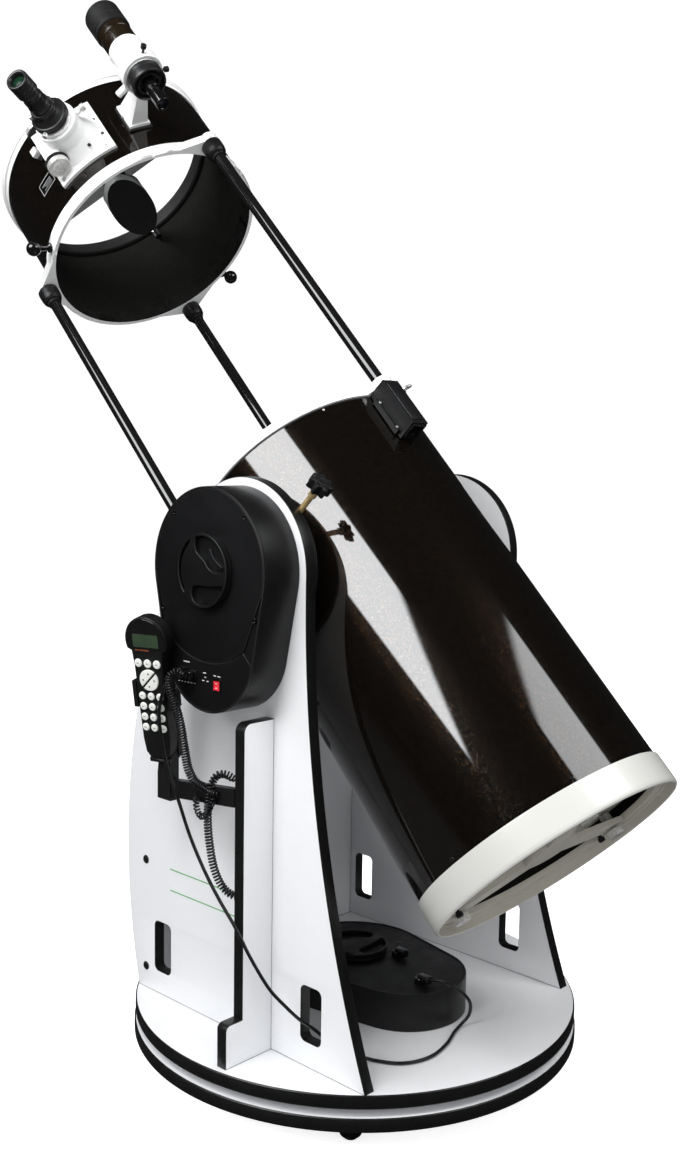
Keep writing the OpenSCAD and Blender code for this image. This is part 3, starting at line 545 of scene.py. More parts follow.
def skin(node, *looks, rounding=0.0):
    """Materials and rounded edges on a CAD node whose shape is right."""
    ob = NODES[node]
    ob.data.materials.clear()
    for look in looks:
        ob.data.materials.append(MATS[look])
    if rounding > 0:
        ob.modifiers.new("weld", "WELD").merge_threshold = 1e-6
        bevel = ob.modifiers.new("round", "BEVEL")
        bevel.width = rounding * MM
        bevel.segments = 2
        bevel.limit_method = "ANGLE"
        bevel.angle_limit = rad(32)
    return ob


def tube_position(face):
    """Station of a face along the tube, and its offset from the tube axis, in metres."""
    offset = face.center - PIVOT
    station = offset.dot(ALONG)
    return station, offset - ALONG * station


# ------------------------------------------------------------------ boards
BOARD_LOOK = ("lam_face", "edge_band")
BOARD = 17                                 # thickness of the upright boards
NEAR_OUTER, FAR_INNER = -228, 203          # x of the side boards' faces
NEAR_INNER, FAR_OUTER = NEAR_OUTER + BOARD, FAR_INNER + BOARD
FLOOR_Z = 87                               # top of the turntable
PANEL_INNER_Y = 199
YZ_PLANE = axes(Vector((0, 0, 0)), Y_AXIS, Z_AXIS, X_AXIS)
XZ_PLANE = axes(Vector((0, 0, 0)), X_AXIS, Z_AXIS, -Y_AXIS)


def side_outline():
    """Side board as (y, z): bowed +Y edge, round top, flared -Y edge."""
    hub_y, hub_z, top_radius = 3.0, 725.0, 118.5
    bow_y, bow_z = -629.0, 300.0
    rise_y, rise_z = hub_y - bow_y, hub_z - bow_z
    bow_radius = math.hypot(rise_y, rise_z) + top_radius      # tangent to the round top
    bow_top = math.degrees(math.atan2(rise_z, rise_y))
    bow_bottom = math.degrees(math.asin((FLOOR_Z - bow_z) / bow_radius))
    flare_radius, flare_z = 1715.0, 700.0
    flare_end = math.degrees(math.asin((FLOOR_Z - flare_z) / flare_radius))
    return (arc(bow_y, bow_z, bow_radius, 60, bow_bottom, bow_top)
            + arc(hub_y, hub_z, top_radius, 64, bow_top, 180.0)[1:]
            + arc(hub_y - top_radius - flare_radius, flare_z, flare_radius, 50, 0.0, flare_end))


def board(name, outlines, start, place, replaces):
    """Upright board with laminate on its two faces and banding on its edges."""
    ob = plate(name, outlines, (start, start + BOARD), place, BOARD_LOOK, "rocker", "laminate",
               rounding=0.9, replaces=replaces)
    axis = place.col[2].to_3d()
    for face in ob.data.polygons:
        face.material_index = 0 if abs(face.normal.dot(axis)) > 0.985 else 1


side = [side_outline()] + [round_rect(y, 158, 36, 74, 8) for y in (169, -133)]
board("near_board", side + [arc(3, 725, 12.5, 48)], NEAR_OUTER, YZ_PLANE, "near_side_board")
# two plain rules on the outside of the drive side board
for i, z in enumerate((280.0, 249.0)):
    block("board_rule_%d" % (i + 1), (-228.16, 13.6, z - 0.9), (-227.9, 152, z + 0.9), None,
          "print_green", "rocker", "laminate", rounding=0.04)
board("far_board", side + [arc(3, 725, 30.1, 64)], FAR_INNER, YZ_PLANE, "far_side_board")
board("front_panel", [[(NEAR_INNER, FLOOR_Z), (FAR_INNER, FLOOR_Z), (FAR_INNER, 417),
                       (NEAR_INNER, 417)], round_rect(0, 372, 110, 36, 16)],
      -PANEL_INNER_Y - BOARD, XZ_PLANE, "front_board")
board("stiffening_fin", [[(-308, FLOOR_Z), (NEAR_OUTER, FLOOR_Z), (NEAR_OUTER, 534), (-268, 534)]
                         + arc(-268, 522, 12, 10, 90, 180)[1:] + [(-280, 145), (-296, 145)]
                         + arc(-300, 137, 8, 8, 90, 180)], 43, XZ_PLANE, "side_fin")


def disc_board(name, radius, low, high, body, replaces):
    """Round board with a centre hole and soft edge banding that stands slightly proud."""
    hole = 14.1
    # edge banding: (depth in from the rim, height below the top or above the bottom)
    edge = [(2.2, 0), (2.2, -0.05), (1.0, 0.35), (0.15, 1.8)]
    profile = ([(hole, high)] + [(radius - inset, high - drop) for inset, drop in edge]
               + [(radius, (low + high) / 2)]
               + [(radius - inset, low + drop) for inset, drop in edge[::-1]] + [(hole, low)])
    lathe(name, profile, None, BOARD_LOOK, body, "laminate", rounding=0, segs=256,
          closed=True, second=range(1, 9), replaces=replaces, sharp=50)


disc_board("turntable_board", 323, 68.5, FLOOR_Z, "rocker", "turntable")
disc_board("base_board", 324.5, 39, 57.5, "ground", "ground_board")

# feet: moulded stepped cones
FOOT = [(0, 39), (18.6, 39), (19, 37), (19, 25), (18.2, 20), (16.5, 12), (14.2, 5.5),
        (12.2, 3.4), (9, 3.2), (9, 0.2), (7, 0), (0, 0)]
for i, angle in enumerate((222, 342, 102)):
    lathe("foot_%d" % (i + 1), FOOT, turn(angle, "Z") @ move(265, 0, 0), "black_plastic",
          "ground", "black_plastic", rounding=1.5, segs=64, replaces=first(i, "feet"))

# blind caps over the panel screws, in line with the middle of the front panel
SCREW_CAP = [(6.2, 0), (6.2, 0.6), (5.2, 1.6), (2.5, 2.0), (2.2, 1.2), (0, 1.2)]
caps = [(x, z, sign) for z in (120, 281) for x, sign in ((NEAR_OUTER, -1), (FAR_OUTER, 1))]
for i, (x, z, sign) in enumerate(caps):
    origin = Vector((x * MM, (PANEL_INNER_Y + BOARD / 2) * MM, z * MM))
    lathe("screw_cap_%d" % (i + 1), SCREW_CAP, axes(origin, Y_AXIS, Z_AXIS * sign, X_AXIS * sign),
          "black_plastic", "rocker", "black_plastic", rounding=0.4, segs=32,
          replaces=first(i, "screw_caps"))

# ------------------------------------------------------------------ drive housings
BIG_END, SMALL_END, END_SPACING = 107, 87.5, 97.5    # egg outline: two radii, their spacing
SIDE_WALL = ("drive_side", "rocker", "drive_plastic")
COVER = ("drive_plastic", "rocker", "drive_plastic")
DRIVE_SCREW = ("black_gloss", "rocker", "drive_plastic")
GLOSS_PLUG = ("black_gloss", "rocker", "black_plastic")


def egg(inset=0.0, big_steps=96, small_steps=64):
    lean = math.degrees(math.asin((SMALL_END - BIG_END) / END_SPACING))
    return (arc(0, 0, BIG_END - inset, big_steps + 1, lean, 180 - lean)
            + arc(0, -END_SPACING, SMALL_END - inset, small_steps + 1, 180 - lean, 360 + lean))


def egg_within(inset, radius):
    """The egg cut to a circle round the axis."""
    out = []
    for x, y in egg(inset, 240, 240):
        reach = math.hypot(x, y)
        out.append((x, y) if reach <= radius else (x * radius / reach, y * radius / reach))
    return out


def egg_beyond(inset, radius):
    """The part of the egg outside a circle round the axis."""
    outer = [(x, y) for x, y in egg(inset, 240, 240) if math.hypot(x, y) > radius]
    start, end = (math.degrees(math.atan2(y, x)) % 360 for x, y in (outer[-1], outer[0]))
    return outer + arc(0, 0, radius, 48, start, end)[1:-1]


# altitude drive: wall, lipped rim, round cover and the lower control panel
plate("altitude_case", [egg()], (0.3, 57.6), ALT_DRIVE, *SIDE_WALL, rounding=1.2,
      replaces="altitude_housing")
plate("altitude_case_rim", [egg(0.2), egg(2.6)[::-1]], (54, 60.8), ALT_DRIVE, *SIDE_WALL,
      rounding=0.7)
plate("altitude_lid", [egg_within(3.0, 118.4)], (55, 60.0), ALT_DRIVE, *COVER, rounding=0.6,
      replaces="altitude_cover")
plate("altitude_panel", [egg_beyond(3.0, 119.6)], (55, 59.3), ALT_DRIVE, *COVER, rounding=0.5,
      replaces="control_panel")
for i, (x, y) in enumerate(((-66.0, 70.5), (69.8, 70.8), (88.9, -55.6), (-88.9, -55.6))):
    lathe("cover_screw_%d" % i, [(0, 60.2), (1.6, 60.2), (2.0, 61.1), (3.1, 61.1), (3.4, 60.4),
                                 (3.4, 59)],
          ALT_DRIVE @ move(x, y, 0), *DRIVE_SCREW, rounding=0.2, segs=24)

# grip pockets and web as (x, y) control points
POCKET_UPPER = [
    (-11.3, 43.2), (4.8, 44.6), (17, 41.4), (28, 35.0), (37, 25.5), (43, 13.0), (44.2, 5),
    (41.5, 0.6), (33, -1.2), (21, 0.4), (12.5, 4.5), (5.8, 13.5), (-3, 18.5), (-10.3, 23.5),
    (-13.3, 32.8), (-13.3, 39.5)]
POCKET_LOWER = [
    (-18.3, -21.7), (-12, -19.6), (-3.2, -19), (5, -19.4), (12.9, -19), (24, -18), (33, -16.8),
    (40.4, -15.6), (39.5, -21.5), (35.0, -28.6), (28, -35.2), (20, -40.2), (11.5, -43.2),
    (0, -44.6), (-10, -43.2), (-16.5, -38.4), (-20.0, -31)]
POCKET_SIDE = arc(0, 0, 45.2, 20, 118, 222) + arc(0, 0, 40.6, 16, 214, 130)
GRIP_WEB = [(9, 26), (14, 30), (17, 20), (26, 12), (36, 7), (33, 3.5), (20, 6), (12, 13)]
GRIP_FLOOR = [(0, 2.9), (44, 2.9), (47.2, 2.3), (47.2, 0.7), (18, 0.6), (17.8, -11.5),
              (0, -11.5)]


def cut_corners(points, passes=2):
    """Smooth a closed outline by cutting each corner at its quarter points."""
    for _ in range(passes):
        out = []
        for (ax, ay), (bx, by) in zip(points, points[1:] + points[:1]):
            out += [(0.75 * ax + 0.25 * bx, 0.75 * ay + 0.25 * by),
                    (0.25 * ax + 0.75 * bx, 0.25 * ay + 0.75 * by)]
        points = out
    return points


def clutch_grip(name, place):
    """Round grip: a raised dish with three pockets that leave a broad waisted bar."""
    plate(name, [arc(0, 0, 47.8, 128), cut_corners(POCKET_UPPER)[::-1],
                 cut_corners(POCKET_LOWER), cut_corners(POCKET_SIDE, 1)],
          (2.1, 9.5), place, "drive_side", name, "drive_plastic", rounding=1.1, replaces=name)
    lathe(name + "_floor", GRIP_FLOOR, place, "drive_plastic", name, "drive_plastic",
          rounding=0.4)
    plate(name + "_web", [cut_corners(GRIP_WEB)], (2.5, 6.1), place, "drive_side", name,
          "drive_plastic", rounding=0.7)


clutch_grip("altitude_grip", ALT_DRIVE @ move(0, 0, 61))

# red lit rocker switch in its frame
SWITCH = ALT_DRIVE @ move(19, -147, 0)
SWITCH_PART = ("power_switch", "red_plastic")
SWITCH_PROFILE = [(-5.8, 61.4), (-5.2, 61.5), (-2.8, 60.5), (0, 60.0), (2.8, 60.5), (5.2, 61.5),
                  (5.8, 61.4), (5.4, 56.5), (-5.4, 56.5)]       # (y, z)
plate("switch_frame", [round_rect(0, 0, 15.5, 18.0, 1.5), round_rect(0, 0, 11.6, 12.6, 0.8)[::-1]],
      (58, 60.6), SWITCH, *GLOSS_PLUG, rounding=0.4)
switch = bmesh.new()
end_left, end_right = ([switch.verts.new((x * MM, y * MM, z * MM)) for y, z in SWITCH_PROFILE]
                       for x in (-5.4, 5.4))
switch.faces.new(end_left)
switch.faces.new(end_right[::-1])
for i in range(len(SWITCH_PROFILE)):
    j = (i + 1) % len(SWITCH_PROFILE)
    switch.faces.new((end_left[i], end_right[i], end_right[j], end_left[j]))
finish("rocker_switch", switch, SWITCH, "red_lit", *SWITCH_PART, replaces="power_switch",
       rounding=0.6)
for i, y in enumerate((2.9, -2.9)):
    block("switch_mark_%d" % i, (-1.6, y - 0.5, 60.4), (1.6, y + 0.5, 61.05), SWITCH,
          "print_white", *SWITCH_PART, rounding=0.15)

# plain printed ticks: x, y, width, height
TICKS = [(-41.6, -123.3, 12, 1.6), (-5.5, -133.6, 6, 1.2), (-4.0, -139.0, 3, 1.2),
         (-8.0, -143.8, 4, 1.2), (0.6, -143.8, 4, 1.2), (14.5, -134.6, 5, 1.1),
         (22.5, -134.8, 6, 1.1)]
TICKS += [(-57 + 6.4 * i, -150.6 + 0.1 * i, 3.0, 1.0) for i in range(6)]
for i, tick in enumerate(TICKS):
    plate("panel_tick_%d" % i, [round_rect(*tick, 0.4)], (59.2, 59.45), ALT_DRIVE,
          "print_white", "rocker", "drive_plastic", rounding=0.08)

# sockets (x, y, width, height) and plugs on the panel
for i, socket in enumerate(((-46, -137, 15, 13), (-26, -138, 13, 11))):
    plate("panel_socket_%d" % i, [round_rect(*socket, 1.6)], (58, 62.4), ALT_DRIVE,
          "black_plastic", "rocker", "black_plastic", rounding=0.6)
block("lead_plug", (-53, -143, 62), (-38, -130, 74), ALT_DRIVE, *GLOSS_PLUG, rounding=1.6)
block("power_plug", (-32, -144, 62), (-20, -133, 72), ALT_DRIVE, *GLOSS_PLUG, rounding=2.0)

# azimuth drive on the turntable
plate("azimuth_case", [egg()], (0.2, 51.8), AZ_DRIVE, *SIDE_WALL, rounding=1.6,
      replaces="azimuth_housing")
plate("azimuth_case_rim", [egg(0.2), egg(3.4)[::-1]], (48, 53.9), AZ_DRIVE, *SIDE_WALL,
      rounding=1.0)
plate("azimuth_lid", [egg(4.0)], (48, 52.9), AZ_DRIVE, *COVER, rounding=0.6)
clutch_grip("azimuth_grip", AZ_DRIVE @ move(0, 0, 54))
for i, (x, y) in enumerate(((0, -178.285), (65.01, -29.55), (-65.01, -29.55))):
    lathe("azimuth_case_screw_%d" % i,
          [(0, 52.9), (1.8, 52.9), (2.2, 53.7), (3.6, 53.7), (3.9, 52.7)],
          AZ_DRIVE @ move(x, y, 0), *DRIVE_SCREW, rounding=0.2, segs=24)

# ------------------------------------------------------------------ handset in its holder
HANDSET = (move(-313, 90, 573.7) @ turn(16.5, "Z") @ turn(-10.4, "Y")
           @ axes(Vector((0, 0, 0)), -Y_AXIS, Z_AXIS, -X_AXIS))
HEAD_Y, HEAD_RADIUS = 53.7, 33.1
KEY = ("key_white", "keys", "key_rubber")
HANDLE = [(-24.5, 39), (-22.5, 17), (-21.5, -84), (-19, -104), (-12, -112.5), (12, -112.5),
          (19, -104), (21.5, -84), (22.5, 17), (24.5, 39)]
plate("handset_body", [arc(0, HEAD_Y, HEAD_RADIUS, 75, -21, 201) + HANDLE], (-20, -0.3), HANDSET,
      "black_plastic", "handset", "black_plastic", rounding=2.2, seg=4, replaces="handset_shell")
# domed brow round the display
plate("handset_brow", [arc(0, HEAD_Y, HEAD_RADIUS - 2.5, 73, -18, 198),
                       round_rect(0, 54.3, 41, 19, 1.2)[::-1]],
      (-1.5, 1.0), HANDSET, "black_gloss", "handset", "black_plastic", rounding=0.7)
plate("handset_window", [round_rect(0, 54.3, 40.4, 18.4, 0.8)], (-1.2, 0.1), HANDSET, "lcd",
      "handset", "black_plastic", rounding=0.1)
plate("handset_strip", [round_rect(-6, 41.3, 22, 2.2, 0.6)], (0.9, 1.12), HANDSET,
      "amber_strip", "handset", "black_plastic", rounding=0.06)


def key(name, x, y, radius, replaces=None):
    """Round key with a short printed bar."""
    lathe(name, [(0, 1.75), (radius * 0.55, 1.72), (radius * 0.86, 1.45), (radius, 0.7),
                 (radius, -1.4), (0, -1.4)],
          HANDSET @ move(x, y, 0), *KEY, rounding=0.35, segs=40, replaces=replaces)
    plate(name + "_mark", [round_rect(x, y, radius * 0.72, 1.0, 0.4)], (1.6, 1.83), HANDSET,
          "key_print", "keys", "key_rubber", rounding=0.05)


for i, x in enumerate((-14.7, 0, 14.7)):
    key("key_f_" + "lmr"[i], x, 22.9, 5.8, first(i, "handset_keys"))
for i, y in enumerate((-23, -37.9, -52.8, -67.7)):
    for j, x in enumerate((-13.9, 0, 13.9)):
        key("key_%d_%d" % (i, j), x, y, 5.3)
# direction pad in two halves, split along a diagonal
for name, start, node in (("pad_upper", 45, "direction_pad"), ("pad_lower", 225, None)):
    plate(name, [arc(0, 0, 14.6, 40, start + 5.5, start + 180 - 5.5)], (-1.4, 1.7), HANDSET,
          "key_white", "pad", "key_rubber", rounding=0.6, replaces=node)
for i, (x, y) in enumerate(((0, 9), (9, 0), (0, -9), (-9, 0))):
    heading = math.atan2(y, x)
    triangle = [(x + 2.2 * math.cos(heading + t), y + 2.2 * math.sin(heading + t))
                for t in (0, 2.2, -2.2)]
    plate("pad_arrow_%d" % i, [triangle], (1.6, 1.82), HANDSET, "key_print", "pad",
          "key_rubber", rounding=0.05)
skin("handset_holder", "black_plastic", rounding=1.0)

# ------------------------------------------------------------------ lower tube
TUBE_RADIUS, CAGE_RADIUS, TUBE_WALL = 179.0, 181.0, 1.2
TUBE_STEEL = ("steel", "tube", "steel")
TUBE_BLACK = ("black_plastic", "tube", "black_plastic")


def shell(name, radius, low, high, body, replaces):
    """Open tube, painted outside and matt inside."""
    inner = radius - TUBE_WALL
    lathe(name, [(radius, low), (radius, high), (inner, high), (inner, low)], TUBE,
          ("tube_paint", "matt_inside"), body, "tube_paint", rounding=0, segs=256,
          closed=True, second=(2,), replaces=replaces, sharp=40)


shell("tube_lower", TUBE_RADIUS, -464, 147, "tube", "lower_tube")
skin("lower_top_ring", "white_gloss", rounding=0.9)
REAR_RING = [
    (172, -449.2), (177.6, -449.2), (177.6, -463), (182.3, -463), (182.5, -464.2),
    (182.5, -500), (181.8, -503.8), (180.0, -506), (178.0, -506), (177.2, -504.6),
    (177.2, -494.1), (172, -493.9), (172, -485.2), (172, -484.9), (172, -449.2)]
ring = lathe("rear_end_ring", REAR_RING, TUBE, ("ring_white", "matt_inside", "cell_cast"),
             "tube", "white_paint", rounding=0.7, segs=256, replaces="rear_ring", sharp=50)
for face in ring.data.polygons:
    station, offset = tube_position(face)
    if offset.length < 172.5 * MM and station > -485.0 * MM:
        face.material_index = 1
    elif offset.length < 177.8 * MM and station < -483.0 * MM:
        face.material_index = 2
skin("mirror_cell", "cell_cast", rounding=1.4)
for face in skin("primary_mirror", "mirror", "glass_back").data.polygons:
    face.material_index = 0 if face.normal.dot(ALONG) > 0.5 else 1


def spring(name, place, radius, height, turns, replaces):
    count = int(turns * 28)
    path = []
    for i in range(count + 1):
        t = i / count
        angle = 2 * math.pi * turns * t
        path.append(place @ Vector((radius * MM * math.cos(angle), radius * MM * math.sin(angle),
                                    height * (0.04 + 0.92 * t) * MM)))
    wire(name, path, 1.15, *TUBE_STEEL, sides=8, replaces=replaces)


# collimation screws: spring, knurled nut, bolt and a lock screw beside each nut
NUT_OUTLINE = []
for k in range(72):
    radius = 11.8 if k % 4 in (0, 1) else 11.0
    angle = 2 * math.pi * k / 72
    NUT_OUTLINE.append((radius * math.cos(angle), radius * math.sin(angle)))
for i, angle in enumerate((0, 120, 240)):
    place = TUBE @ turn(angle, "Z") @ move(146, 0, 0)
    number = i + 1
    spring("cell_spring_%d" % number, place @ move(0, 0, -484), radius=7, height=14, turns=5.5,
           replaces=first(i, "collimation_springs"))
    plate("collimation_nut_%d" % number, [NUT_OUTLINE], (-504.5, -495), place, "aluminium",
          "collimation", "steel", rounding=0.8, replaces=first(i, "collimation_knobs"))
    lathe("collimation_bolt_%d" % number,
          [(0, -465), (3, -465), (3, -504.6), (4.6, -504.6), (4.2, -505), (1.6, -505),
           (1.4, -504), (0, -504)], place, "steel", "collimation", "steel", rounding=0.2, segs=32)
    lathe("cell_lock_%d" % number, [(0, -499.5), (4.2, -499.5), (5.0, -498.3), (5.0, -493.5),
                                    (3.0, -493), (3.0, -484)],
          TUBE @ turn(angle + 9, "Z") @ move(143, 0, 0), *TUBE_BLACK, rounding=0.5, segs=32)


def dome_screw(name, phi, station, radius, body, look, size):
    """Low domed screw head on the outside of the tube."""
    lathe(name, [(0, 0.9), (size * 0.55, 0.85), (size * 0.92, 0.5), (size, 0)],
          stud(phi, station, radius), look, body, "steel", rounding=0.15, segs=20)


# small screws that hold the end rings
for i in range(6):
    dome_screw("top_ring_screw_%d" % i, 121 + 60 * i, 141.5, TUBE_RADIUS, "tube", "steel",
               size=1.8)
for i in range(6):
    dome_screw("rear_ring_screw_%d" % i, 121 + 58 * i, -456.5, TUBE_RADIUS, "tube",
               "black_gloss", size=2.7)

# altitude flange, lock knob and far trunnion
skin("altitude_flange", "black_plastic", rounding=1.2)
FLANGE = TUBE @ axes(Vector((0, 0, 0)), Z_AXIS, Y_AXIS, -X_AXIS)
for i, (x, y) in enumerate(arc(0, 0, 82, 6, 30, 390)):
    lathe("flange_screw_%d" % i, [(0, 0.4), (2.2, 0.4), (2.4, 1.5), (4.2, 1.5), (4.8, 0.2)],
          FLANGE @ move(x, y, 209), *TUBE_STEEL, rounding=0.3, segs=24)
LOCK = TUBE @ axes(Vector((-0.202, 0, 0)), X_AXIS, Z_AXIS, -Y_AXIS)
lobes = []
for angle in range(0, 360, 3):
    radius = 14.2 + 2.7 * math.cos(rad(7 * angle))
    lobes.append((radius * math.cos(rad(angle)), radius * math.sin(rad(angle))))
plate("lock_knob_head", [lobes], (151, 166), LOCK, "black_plastic", "lock_knob",
      "black_plastic", rounding=2.2, seg=4, replaces="lock_knob")
lathe("lock_knob_dish", [(0, 166.2), (5, 166.2), (6.2, 166.9), (7.4, 166.2), (7.6, 165.5)],
      LOCK, "black_plastic", "lock_knob", "black_plastic", rounding=0.4, segs=40)
lathe("lock_shaft", [(0, 90), (4, 90), (4, 138), (5.6, 139), (5.6, 151.5), (0, 151.5)], LOCK,
      "brass", "lock_knob", "bronze", rounding=0.5, segs=40)
skin("far_trunnion", "black_plastic", rounding=1.2)

# rod clamps with lids, lips, screws and wing screws
skin("rod_clamps", "black_plastic", rounding=1.6)
ROD_ANGLES = (90, 220, 320)
ROD_CIRCLE = 195.5
WING_HUB = [(0, 10), (3.5, 10), (3.5, 16.2), (5.6, 16.3), (5.6, 19.6), (3.6, 20.2), (3.5, 26.6),
            (6.2, 27.4), (6.6, 34), (5.0, 38), (0, 38.6)]
WING = [(0, -3.4), (5, -3.6), (9.5, -1.0), (13.0, 1.6), (15.2, 6.0), (15.0, 9.6), (12.4, 10.4),
        (9.0, 8.2), (5, 4.4), (0, 4.0)]
for i, phi in enumerate(ROD_ANGLES):
    place = spoke(phi)
    block("clamp_lid_%d" % i, (209.6, -12.5, 70), (212.6, 12.5, 140), place, *TUBE_BLACK,
          rounding=1.4)
    block("clamp_lip_%d" % i, (205.2, -14, 61.5), (208.6, 14, 64.6), place, *TUBE_BLACK,
          rounding=0.8)
    for j, (low, high) in enumerate(((-14, -9.9), (9.9, 14))):
        block("clamp_lip_%d_%d" % (i, j), (186, low, 61.5), (206, high, 64.6), place,
              *TUBE_BLACK, rounding=0.8)
    screws = [(y, z) for y in (-18.6, 18.6) for z in (78, 124)]
    for j, (y, z) in enumerate(screws):
        lathe("clamp_screw_%d_%d" % (i, j), [(0, 188.3), (1.0, 188.3), (1.2, 189.2),
                                             (2.1, 189.2), (2.3, 187.8)],
              place @ move(0, y, z) @ turn(90, "Y"), *TUBE_STEEL, rounding=0.2, segs=20)
    clamp = "clamp_%d" % (i + 1)
    hub = place @ axes(Vector((ROD_CIRCLE * MM, 0, 0.140)), X_AXIS, -Z_AXIS, Y_AXIS)
    lathe("wing_hub_%d" % (i + 1), WING_HUB, hub, "chrome", clamp, "chrome", segs=40,
          replaces="clamp_knob_%d" % (i + 1))
    # the wings spread from the hub, in the plane of the screw
    wing_plane = hub @ axes(Vector((0, 0, 0.0325)), X_AXIS, Z_AXIS, -Y_AXIS)
    for suffix, outline in (("a", WING), ("b", [(-x, y) for x, y in WING[::-1]])):
        plate("wing_%d_%s" % (i + 1, suffix), [outline], (-1.8, 1.8), wing_plane, "chrome",
              clamp, "chrome", rounding=1.1)

# ------------------------------------------------------------------ cage
CAGE_STEEL = ("steel", "cage", "steel")
CAGE_BLACK = ("black_plastic", "cage", "black_plastic")
CAGE_WHITE = ("white_gloss", "cage", "white_paint")
CAGE_METAL = ("black_metal", "cage", "black_metal")
CAGE_ANOD = ("black_anod", "cage", "black_metal")
shell("tube_upper", CAGE_RADIUS, 698, 872, "cage", "cage_tube")
FRONT_RING = [(173, 861), (181.5, 861), (181.9, 871), (184.6, 871.4), (185, 873), (185, 881.5),
              (183.6, 884.2), (181.2, 885), (175, 885), (173, 883.4), (173, 861)]
ring = lathe("front_end_ring", FRONT_RING, TUBE, ("white_gloss", "inner_band"), "cage",
             "white_paint", rounding=1.2, segs=256, replaces="cage_front_ring", sharp=50)
for face in ring.data.polygons:
    station, offset = tube_position(face)
    if offset.length < 173.5 * MM or station < 861.5 * MM:
        face.material_index = 1
ring = skin("cage_rear_ring", "white_gloss", "matt_inside", rounding=0.9)
for face in ring.data.polygons:
    offset = tube_position(face)[1]
    if offset.length < 176.8 * MM and face.normal.dot(offset.normalized()) < -0.8:
        face.material_index = 1

ROD_CAP = [(9.1, 655.2), (11.8, 655.2), (13.2, 656.5), (15.2, 660), (16.3, 666), (16.5, 680.9),
           (9.1, 680.9)]
for i, phi in enumerate(ROD_ANGLES):
    place = spoke(phi) @ move(ROD_CIRCLE, 0, 0)
    lathe("truss_rod_%d" % (i + 1), [(0, 70), (8.4, 70), (9, 70.8), (9, 690), (0, 690)], place,
          "rod_black", "cage", "rod_paint", rounding=0.3, segs=64,
          replaces=first(i, "truss_rods"))
    lathe("rod_cap_%d" % (i + 1), ROD_CAP, place, *CAGE_BLACK, rounding=1.0, segs=64,
          replaces=first(i, "rod_caps"))
    lathe("rod_collar_%d" % (i + 1), [(9.1, 650.5), (10.6, 650.5), (10.9, 651.4), (10.9, 655.4),
                                      (9.1, 655.4)],
          place, "rubber", "cage", "black_plastic", rounding=0.4, segs=64)
    lathe("rod_nut_%d" % (i + 1), [(0, 699.4), (5, 699.4), (6.4, 698.4), (6.4, 694.6),
                                   (0, 694.6)], place, *CAGE_STEEL, rounding=0.4, segs=6)

# pull handles: stepped stem with a ball end
PULL_HANDLE = [(0, 183.2), (7.4, 183.2), (8.0, 184.4), (8.0, 187), (6.2, 188.4), (4.6, 189.4),
               (4.8, 197), (5.6, 201)]
PULL_HANDLE += [(11.6 * math.cos(rad(t)), 212 + 11.6 * math.sin(rad(t)))
                for t in range(-58, 90, 8)] + [(0, 212 + 11.6)]
for i, phi in enumerate((194.5, 345.5)):
    lathe("pull_handle_%d" % (i + 1), PULL_HANDLE, stud(phi, 690), "black_gloss", "cage",
          "black_metal", rounding=0.5, segs=48, replaces=first(i, "pull_handles"))

skin("spider", "black_metal", rounding=0.3)
skin("secondary_holder", "holder_grey", rounding=0.8)
flat_normal = (radial(150) - ALONG).normalized()
for face in skin("secondary_mirror", "flat_mirror", "glass_edge").data.polygons:
    face.material_index = 0 if abs(face.normal.dot(flat_normal)) > 0.9 else 1
# painted shade: a dark ring stands in for the shaded gap at the front ring that shows inside the
# cage
lathe("cage_gap_shade_ring", [(179.7, 857), (174.5, 858), (173.6, 859.5), (174.5, 860.6),
                      (179.7, 860.8)],
      TUBE, "matt_inside", "cage", "black_metal", rounding=0.5, segs=192)
for i, phi in enumerate((57, 147, 237, 327)):
    dome_screw("vane_screw_%d" % i, phi, 847, CAGE_RADIUS, "cage", "steel", size=3.6)
    lathe("vane_nut_%d" % i, [(0, 170.2), (2.6, 170.2), (3.0, 171.0), (3.0, 173.6), (0, 173.6)],
          spoke(phi) @ move(0, 3.0, 854) @ turn(90, "Y"), *CAGE_STEEL, rounding=0.3, segs=20)
for i, phi in enumerate((342, 222, 102, 30, 270, 150)):
    lathe("ring_screw_in_%d" % i, [(0, 177.6), (1.6, 177.8), (2.6, 178.6), (3.0, 180.2)],
          spoke(phi) @ move(0, 0, 705) @ turn(90, "Y"), "brass", "cage", "steel", rounding=0.3,
          segs=20)

# ------------------------------------------------------------------ focuser
skin("focuser_body", "white_gloss", rounding=1.1)
FOOT_RADIUS = 186.6                        # curved outer face of the focuser foot
for i, (x, y) in enumerate(((-44, 40), (46, 40), (-44, -42), (46, -44))):
    lathe("focuser_screw_%d" % i, [(0, 0.3), (1.62, 0.3), (1.872, 1.3), (3.24, 1.3), (3.6, 0.0),
                                   (3.6, -3)],
          FOCUSER @ move(x, y, math.sqrt(FOOT_RADIUS ** 2 - y * y) - 0.2), *CAGE_STEEL,
          rounding=0.2, segs=28)
for i, spot in enumerate(((-44, 22, 185.3), (-44, 6, 186.5), (-14, 45, 181.0), (20, 45, 181.0))):
    lathe("focuser_plate_screw_%d" % i, [(0, 0.2), (1.3, 0.2), (1.4, 1.2), (2.5, 1.2),
                                         (2.8, 0.2), (2.8, -3)],
          FOCUSER @ move(*spot), *CAGE_METAL, rounding=0.15, segs=20)
for i, spot in enumerate(((11.5, 26, 209.5), (36.6, 21, 196.5))):
    lathe("focuser_setscrew_%d" % i, [(0, -1.2), (1.4, -1.2), (1.5, 0.2), (2.6, 0.2),
                                      (2.8, -2.5)],
          FOCUSER @ move(*spot) @ turn(-58, "X"), *CAGE_METAL, rounding=0.1, segs=20)
lathe("focuser_drum_ring", [(28.6, 238), (33.6, 238), (34.0, 236.6), (34.0, 229), (33.1, 228)],
      FOCUSER, *CAGE_WHITE, rounding=0.5)
